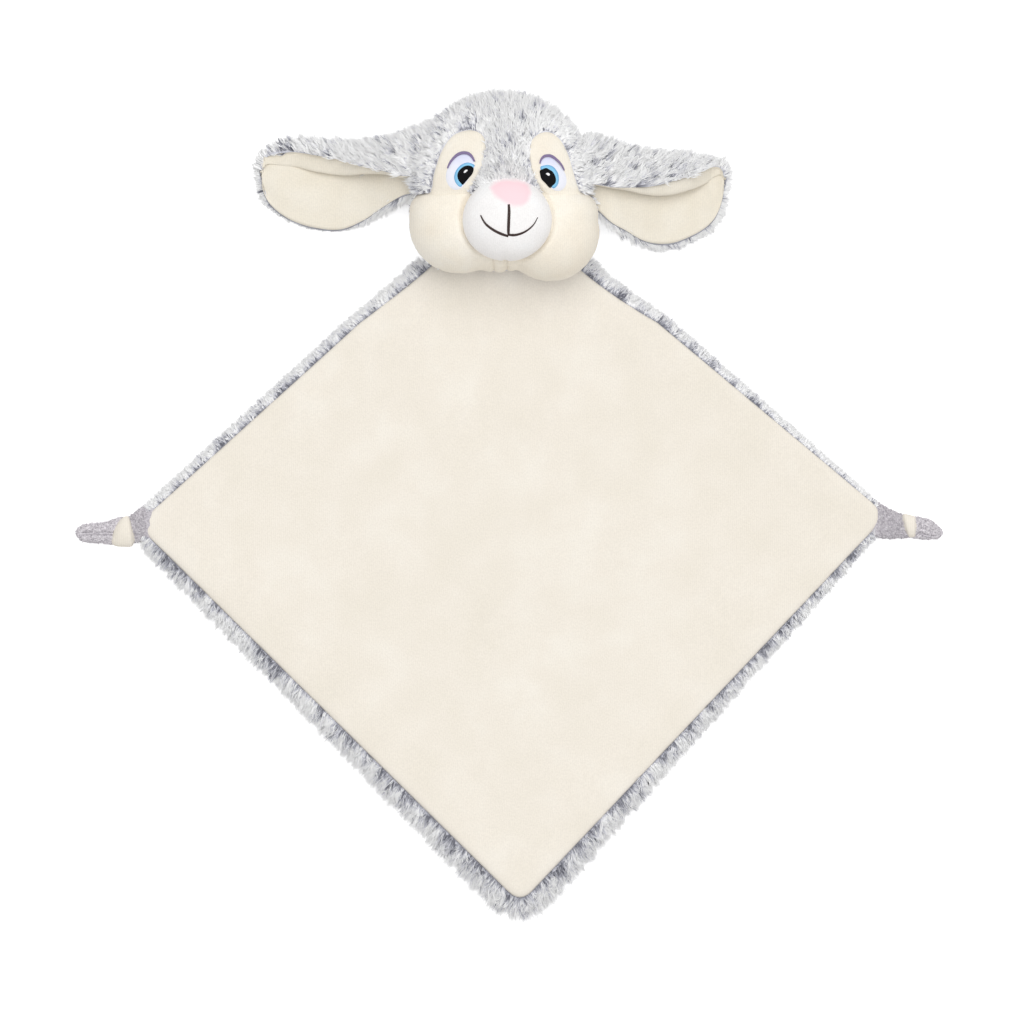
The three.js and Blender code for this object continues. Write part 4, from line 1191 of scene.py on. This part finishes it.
# Eyes: four fields of satin stitch on each patch, from the white up to the highlight, with a lid line over
# them. Both eyes are cut off on the nose side by a straight slanting edge.
eye_fields = {
    "left": {
        "white": [(-42, 228.2), (-38.6, 233.9), (-34.6, 236.9), (-30.1, 237.5), (-26.5, 235.8),
                  (-24.2, 231.7), (-24.3, 228.4), (-26.7, 223), (-29.9, 218.4), (-33, 214.8),
                  (-37.6, 213.9), (-41.6, 217.1), (-43.2, 222.3)],
        "iris": [(-24.4, 230.4), (-28.1, 232.1), (-32.4, 231), (-35.8, 227.8), (-37.6, 223.8), (-37.4, 220),
                 (-35.6, 217), (-33.2, 215.9), (-31.4, 218.5), (-28.6, 222.6), (-26, 226.5),
                 (-24.7, 228.8)],
        "pupil": [(-25, 228.4), (-26.2, 229.6), (-28.1, 230.1), (-30.4, 229.8), (-32.3, 228.8),
                  (-34.4, 226.8), (-35.6, 224.1), (-35.3, 221.2), (-33.9, 218.9), (-32.1, 217.3),
                  (-30, 219.3), (-28.1, 221.6), (-26, 224.1), (-25, 226.5)],
        "highlight": [(-31.4, 225.5), (-30.6, 226.8), (-29.4, 227.3), (-28.7, 226.8), (-29.6, 225.7),
                      (-30.7, 225)],
    },
    "right": {
        "white": [(18.4, 229.9), (18.9, 233.2), (21.7, 235.5), (25.9, 235.1), (29.9, 231.8), (33.4, 227.3),
                  (35.5, 222.3), (35.2, 217.1), (32.4, 213.6), (27.6, 213.5), (23.8, 216.2), (19.9, 220.8),
                  (18.4, 225.4)],
        "iris": [(18.5, 229.2), (22.2, 230.5), (25.3, 230.1), (27.8, 228.4), (29.9, 225.2), (30.6, 221.7),
                 (30.3, 218.6), (29.2, 216.3), (27.2, 214.9), (25.7, 215.8), (22.5, 219.3), (20, 222.4),
                 (19.1, 225.7)],
        "pupil": [(18.2, 226.7), (21.8, 228.5), (24.3, 227.5), (26.6, 225.9), (28.2, 223.1), (28.7, 220.5),
                  (28.2, 218.4), (26.6, 216.8), (24.9, 215.4), (23.7, 216.1), (21.8, 218.3), (19.4, 220.8),
                  (18.4, 223.3)],
        "highlight": [(21.9, 224.7), (23.2, 225.2), (24.4, 224.7), (24.6, 223.8), (23.8, 223.2),
                      (22.7, 223.8)],
    },
}
lid_lines = {
    "left": [(-41.9, 228.2, 1), (-40.1, 232, 1.4), (-37.6, 235.1, 1.7), (-35.3, 237, 1.9),
             (-32.7, 238.1, 2), (-30.2, 238.2, 2), (-28.1, 237.6, 1.9), (-26.1, 235.8, 1.6),
             (-24.2, 232.5, 1)],
    "right": [(18.1, 231.2, 0.9), (18.9, 233.8, 1.3), (20.9, 235.9, 1.7), (23.7, 236.4, 1.9),
              (25.7, 236, 1.9), (28.2, 234.4, 1.7), (30.7, 232.1, 1.5), (32.6, 229.6, 1.2),
              (34, 226.8, 0.8)],
}
lavender_thread = thread("pale_lavender_embroidery_thread", "#f6f7fe", "#eaecfa", 0.4, 0.3)
blue_thread = thread("sky_blue_embroidery_thread", "#9ad6f7", "#79c1ec", 0.4, 0.9)
field_looks = {
    "white": ("lavender_thread", tint(lavender_thread, "#dddff9")),
    "iris": ("blue_thread", tint(blue_thread, "#4294ce")),
    "pupil": ("black_thread", thread("black_embroidery_thread", "#0e0f13", "#050608", 0.5, 0.3, 0.08)),
    "highlight": ("white_thread", thread("white_embroidery_thread", "#ffffff", "#eef0f4", 0.4, 0.3)),
}
violet_thread = thread("violet_grey_embroidery_thread", "#8c7ca2", "#6f6088", 0.45, 0.2)
patch_top = 1.35 * mm
field_step = 0.32 * mm
lid_rise = 1.8 * mm
iris_rim = 1.1 * mm
lid_shade = 9 * mm

for side, fields in eye_fields.items():
    for step, (field, points) in enumerate(fields.items()):
        base = patch_top + field_step * step
        domed = [(1, base - 0.25 * mm), (0.96, base + 0.15 * mm), (0.88, base + 0.35 * mm)]
        domed += [(share, base + 0.42 * mm) for share in np.linspace(0.75, 0.1, 7)]
        outline = closed_curve(points, 60)
        piece = layer(f"{side}_eye_{field}_stitches", outline, domed, floor=0.6 * mm)
        # The iris has a darker rim of stitches, and the white is shaded with lavender under the lid.
        shade = None
        if field == "iris":
            shade = [1 + distance_to(outline, *vert.co[:2]) / iris_rim for vert in piece.data.vertices]
        elif field == "white":
            top = max(y for x, y in points) * mm
            shade = [1 - (top - vert.co.y) / lid_shade for vert in piece.data.vertices]
        if shade:
            set_attribute(piece, "tint", np.clip(shade, 0, 1))
        slot, look = field_looks[field]
        dress(piece, look, f"{side}_eye_{field}")
        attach(piece, "head")

for side, points in lid_lines.items():
    lid = sewn_line(f"{side}_eye_lid_line_stitches", points, head_surface)
    reshape(lid, lambda bm: bmesh.ops.translate(bm, verts=bm.verts, vec=(0, 0, lid_rise)))
    dress(lid, violet_thread, f"{side}_eye_lid_line")

# Ears: long leaves of fur lined with velour, gathered into the side seams of the head. The upper edge of
# each is folded forward, so the lining rolls out under the flap as a lip and shows again below it.
# Each row across an ear, in millimetres: x, top of the fur, seam of the lip, the crease under it, lower edge
# of the lining, how far the pile stands past that, height of the underside, and thickness of the fold.
ear_rows = {
    "left": [
        (-45, 259.5, 224.4, 223.8, 216, 8, 23.5, 15), (-55, 258, 224, 223.4, 213.8, 8, 23.5, 16),
        (-65.7, 253.5, 223, 222.4, 211.6, 8, 23.2, 17), (-72.8, 251, 223.6, 222, 209.3, 8, 21.5, 17.5),
        (-83.2, 249, 226.6, 224.4, 203, 7, 14.5, 18.5), (-96.2, 247.5, 230.4, 224.6, 194.4, 3.5, 7, 19.5),
        (-111.8, 247.2, 234.2, 223.9, 188.2, 0.4, 2.4, 19.5),
        (-128, 248.6, 237, 226.4, 189.2, 0.2, 1.2, 18.5),
        (-141, 248.9, 239, 229.4, 193, 0.2, 1, 17), (-150.5, 247.6, 239, 229.6, 198.4, 0.4, 1, 15),
        (-157, 245.4, 237.8, 230.4, 204.4, 2.2, 1, 11), (-160.2, 243, 235.4, 230.2, 209.6, 4.5, 1, 7.5),
        (-161.8, 240, 231.8, 228, 214.8, 5, 1, 5.6), (-162.6, 235.5, 227, 225, 220.4, 5.5, 1, 4.6),
    ],
    "right": [
        (45, 252.8, 218.4, 217.8, 207, 10, 23.5, 15), (55, 249.8, 217.5, 217, 201, 10, 23.5, 16),
        (64.4, 246.5, 216, 215.2, 193, 9, 22, 17), (72.8, 244, 215.6, 214, 188, 8, 17.5, 18),
        (84.5, 241.2, 216, 211.6, 181.4, 4.8, 11, 19.5), (94.9, 239.8, 217.6, 210.8, 179, 4.8, 6, 19.5),
        (106, 239.7, 220.6, 211.6, 180, 3.4, 2.6, 19), (117.3, 239, 224.6, 215, 184.4, 3.5, 1.4, 17.5),
        (125, 238.6, 227.4, 218.2, 189, 4, 1, 15), (130.4, 238, 229.4, 221.4, 194, 4.5, 1, 11),
        (134.3, 237.4, 229, 223.6, 200.6, 4.8, 1, 7.5), (136.7, 236, 226.8, 223.4, 208.3, 4.8, 1, 5.6),
        (137.8, 231.6, 222.6, 220.8, 215, 4.8, 1, 4.6),
    ],
}
# Where a row holds what the pile follows: the fur's top, the lip's seam, the lining's lower edge, and how
# far the pile stands past that.
row_top, row_seam, row_low, row_past = 1, 2, 4, 5
# Which way each ear points, and its leaf's length before it is folded.
ear_leaves = {"left": (-1, 105 * mm), "right": (1, 80 * mm)}
ear_pile = 9.5 * mm
ear_pile_inset = 6.3 * mm
ear_fur_strands = {"left": 17500, "right": 16500}
# The ears' lining is the same cream velour, painted darker and yellower as shade inside the cupped, folded
# ears.
shaded_ear_velour = velour("cream_velour_of_the_ears_painted_darker", "#ece4d3", "#f0e9da", "#f4eee1")
ear_cloth = 1.3 * mm


def arc(centre, half_y, half_z, start, end, count):
    """Points round part of an ellipse in the plane across the ear, by angles in degrees from +Y."""
    turn = np.radians(np.linspace(start, end, count))
    return np.column_stack([centre[0] + half_y * np.cos(turn), centre[1] + half_z * np.sin(turn)])


def line(start, end, count):
    return np.linspace(start, end, count, endpoint=False)


def ear_sections(row):
    """Across one row of an ear: the line of its fur and the line of its lining, as y and z."""
    top, seam, crease, low, _, base, height = row
    top = max(top - ear_pile_inset, seam + 0.8 * mm)
    outer = min(height / 2, max(0.2 * height, top - seam))
    inner = max(outer - 2.6 * mm, 0.25 * mm)
    fold = top - outer
    seam_top = base + 2 * outer - min(2 * mm, 0.12 * height)
    lip = max(0.1 * mm, min(4 * mm, 0.42 * outer, 1.2 * (outer - 1.6 * mm)))
    low = min(low, fold - 1 * mm)
    lining_low = low + 0.5 * mm
    fur = np.vstack([
        line((low - 0.3 * mm, base + 1.2 * mm), (low + 6 * mm, base + 0.4 * mm), 6),
        line((low + 6 * mm, base + 0.4 * mm), (fold, base), 14),
        arc((fold, base + outer), outer, outer, -90, 90, 18),
        line((fold, base + 2 * outer), (seam, seam_top), 14)[1:],
        [(seam, seam_top)],
    ])
    middle = base + outer
    cup = np.linspace(0, 1, 26)
    run = np.linspace(fold, lining_low, 26)
    belly = middle - inner + 1.7 * mm * np.sin(np.pi * cup) ** 2 + 0.6 * mm * cup
    belly[-2:] = base + 3.1 * mm, base + 2.9 * mm
    lining = np.vstack([
        arc((seam, seam_top - lip), seam - crease, lip, 90, 270, 16),
        line((seam, seam_top - 2 * lip), (fold, middle + inner), 10)[1:],
        arc((fold, middle), inner, inner, 90, -90, 12),
        np.column_stack([run, belly])[1:],
    ])
    return fur, lining


for side, rows in ear_rows.items():
    way, length = ear_leaves[side]
    stations = spline(rows, 84) * mm
    fur_rows, lining_rows = [], []
    for x, *row in stations:
        for rows_of_layer, section in zip((fur_rows, lining_rows), ear_sections(row)):
            rows_of_layer.append(np.column_stack([np.full(len(section), x), section]))
    for rows_of_layer, bulge in ((fur_rows, 1.6 * mm), (lining_rows, 0)):
        last = rows_of_layer[-1]
        middle = last.mean(axis=0)
        for share, out in ((0.85, 0.4), (0.55, 0.8), (0.2, 1)):
            rows_of_layer.append((last - middle) * share + middle + np.array([way * out * bulge, 0, 0]))
    ear_fur = loft(f"{side}_ear_fur_fabric", fur_rows)
    lining = loft(f"{side}_ear_velour_lining", lining_rows)

    def unevenness(bm):
        for vert in bm.verts:
            vert.co.z += 0.5 * mm * ripple(vert.co, 18 * mm, 61)
            vert.co.y += 0.5 * mm * ripple(vert.co, 20 * mm, 62)

    for piece in (ear_fur, lining):
        reshape(piece, unevenness)
        if way < 0:
            reshape(piece, lambda bm: bmesh.ops.reverse_faces(bm, faces=bm.faces))

    rng = np.random.default_rng(70 + way)

    def at(places, column):
        return np.interp(places[:, 0] * way, stations[:, 0] * way, stations[:, column])

    def from_edge(places):
        """How far in from the ear's lower edge and its tip places lie."""
        from_tip = abs(stations[-1, 0]) + 1.6 * mm - np.abs(places[:, 0])
        return np.clip(np.minimum(places[:, 1] - at(places, row_low), from_tip), 0, None)

    def density(middles, normals):
        """Close set where the pile shows past the lining, thin beneath, and none over the lip."""
        under = np.where(from_edge(middles) < 7 * mm, 2.2, 0.45)
        return np.where(normals[:, 2] < -0.2, under, middles[:, 1] > at(middles, row_seam) + 0.3 * mm)

    roots, normals = scatter(ear_fur, ear_fur_strands[side], rng, density)
    # The pile lies outwards along the ear and up over the fold, and beneath it spreads to the edges.
    on_flap = (normals[:, 2] > -0.2)[:, None]
    hub = np.clip(roots[:, 0] * way, 0, abs(stations[-1, 0]) - 25 * mm) * way
    hub_y = (at(hub[:, None], row_top) + at(hub[:, None], row_low)) / 2
    down = roots[:, 1] - hub_y
    spread = unit(np.column_stack([roots[:, 0] - hub + way * 0.4 * np.abs(down), down, 0 * down]))
    flow = np.where(on_flap, np.array([way * 0.75, 0.65, 0.1]), spread)
    upright = np.where(on_flap, normals, unit(0.3 * normals + spread))
    tip_share = np.clip((np.abs(stations[-1, 0]) - np.abs(roots[:, 0])) / (25 * mm), 0, 1)
    full = ear_pile * (0.6 + 0.4 * tip_share)
    beneath = np.minimum(1.15 * (at(roots, row_past) + from_edge(roots)), full)
    reach = np.where(on_flap[:, 0], 1.08 * full, beneath)
    pile = grow_fur(f"{side}_ear_fur_pile", roots, upright, unit(flow), rng, length=reach, width=0.8 * mm,
                    lean=0.79, tuft=10, stray=0.2, tone_level=0.84, climb=np.where(on_flap[:, 0], 1, -0.1))
    # The fur's backing is painted darker along the ear's lower edge, as shade in the seam there.
    set_tone(ear_fur, 0.38, lambda place: math.exp(-(from_edge(np.array([place]))[0] / (1.8 * mm)) ** 2))
    thicken(ear_fur, ear_cloth)
    thicken(lining, ear_cloth)
    dress(ear_fur, fur_material, f"{side}_ear_back")
    dress(lining, shaded_ear_velour, f"{side}_ear_lining")
    for piece in (ear_fur, lining, pile):
        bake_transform(piece)

# Studio: the blanket is laid on a white board and photographed from straight above with a long lens, in
# even light that comes a little more from the head's side.
image_width = 665.6 * mm
camera_height = 28
aim_y = 5.2 * mm

camera_data = bpy.data.cameras.new("Overhead camera")
camera_data.sensor_width = 36
camera_data.lens = camera_data.sensor_width * camera_height / image_width
camera_data.clip_end = 100
camera = bpy.data.objects.new("Overhead camera", camera_data)
camera.location = (0, aim_y, camera_height)
bpy.context.scene.collection.objects.link(camera)
bpy.context.scene.camera = camera

bm = bmesh.new()
bmesh.ops.create_grid(bm, x_segments=1, y_segments=1, size=6)
floor = new_piece("white_board", bm)
board, tree, shader = new_material("matt_white_board")
set_inputs(tree, shader, {"Base Color": linear("#f4f4f4"), "Roughness": 0.9})
# Seen by the camera the board is nearly as bright as white paper, and still takes the blanket's shadow.
path = add_node(tree, "LightPath")
seen = add_node(tree, "Math", {0: path.outputs["Is Camera Ray"], 1: path.outputs["Is Glossy Ray"]},
                operation="MAXIMUM")
seen = add_node(tree, "Math", {0: seen.outputs[0], 1: path.outputs["Is Transmission Ray"]},
                operation="MAXIMUM")
glow = add_node(tree, "Emission", {"Color": (1, 1, 1, 1), "Strength": 0.62})
both = add_node(tree, "AddShader", {0: shader.outputs[0], 1: glow.outputs[0]})
choice = add_node(tree, "MixShader", {0: seen.outputs[0], 1: shader.outputs[0], 2: both.outputs[0]})
tree.links.new(choice.outputs[0], tree.nodes["Material Output"].inputs["Surface"])
floor.data.materials.append(board)

world = bpy.data.worlds.new("White tent")
bpy.context.scene.world = world
world.use_nodes = True
world.node_tree.nodes["Background"].inputs["Color"].default_value = (1, 1, 1, 1)
world.node_tree.nodes["Background"].inputs["Strength"].default_value = 0.55

lamp_data = bpy.data.lights.new("Overhead softbox", "SUN")
lamp_data.energy = 1.7
lamp_data.angle = math.radians(60)
lamp = bpy.data.objects.new("Overhead softbox", lamp_data)
lamp.rotation_euler = (math.radians(-13), math.radians(5), 0)
bpy.context.scene.collection.objects.link(lamp)

bpy.context.scene.view_settings.view_transform = "Standard"
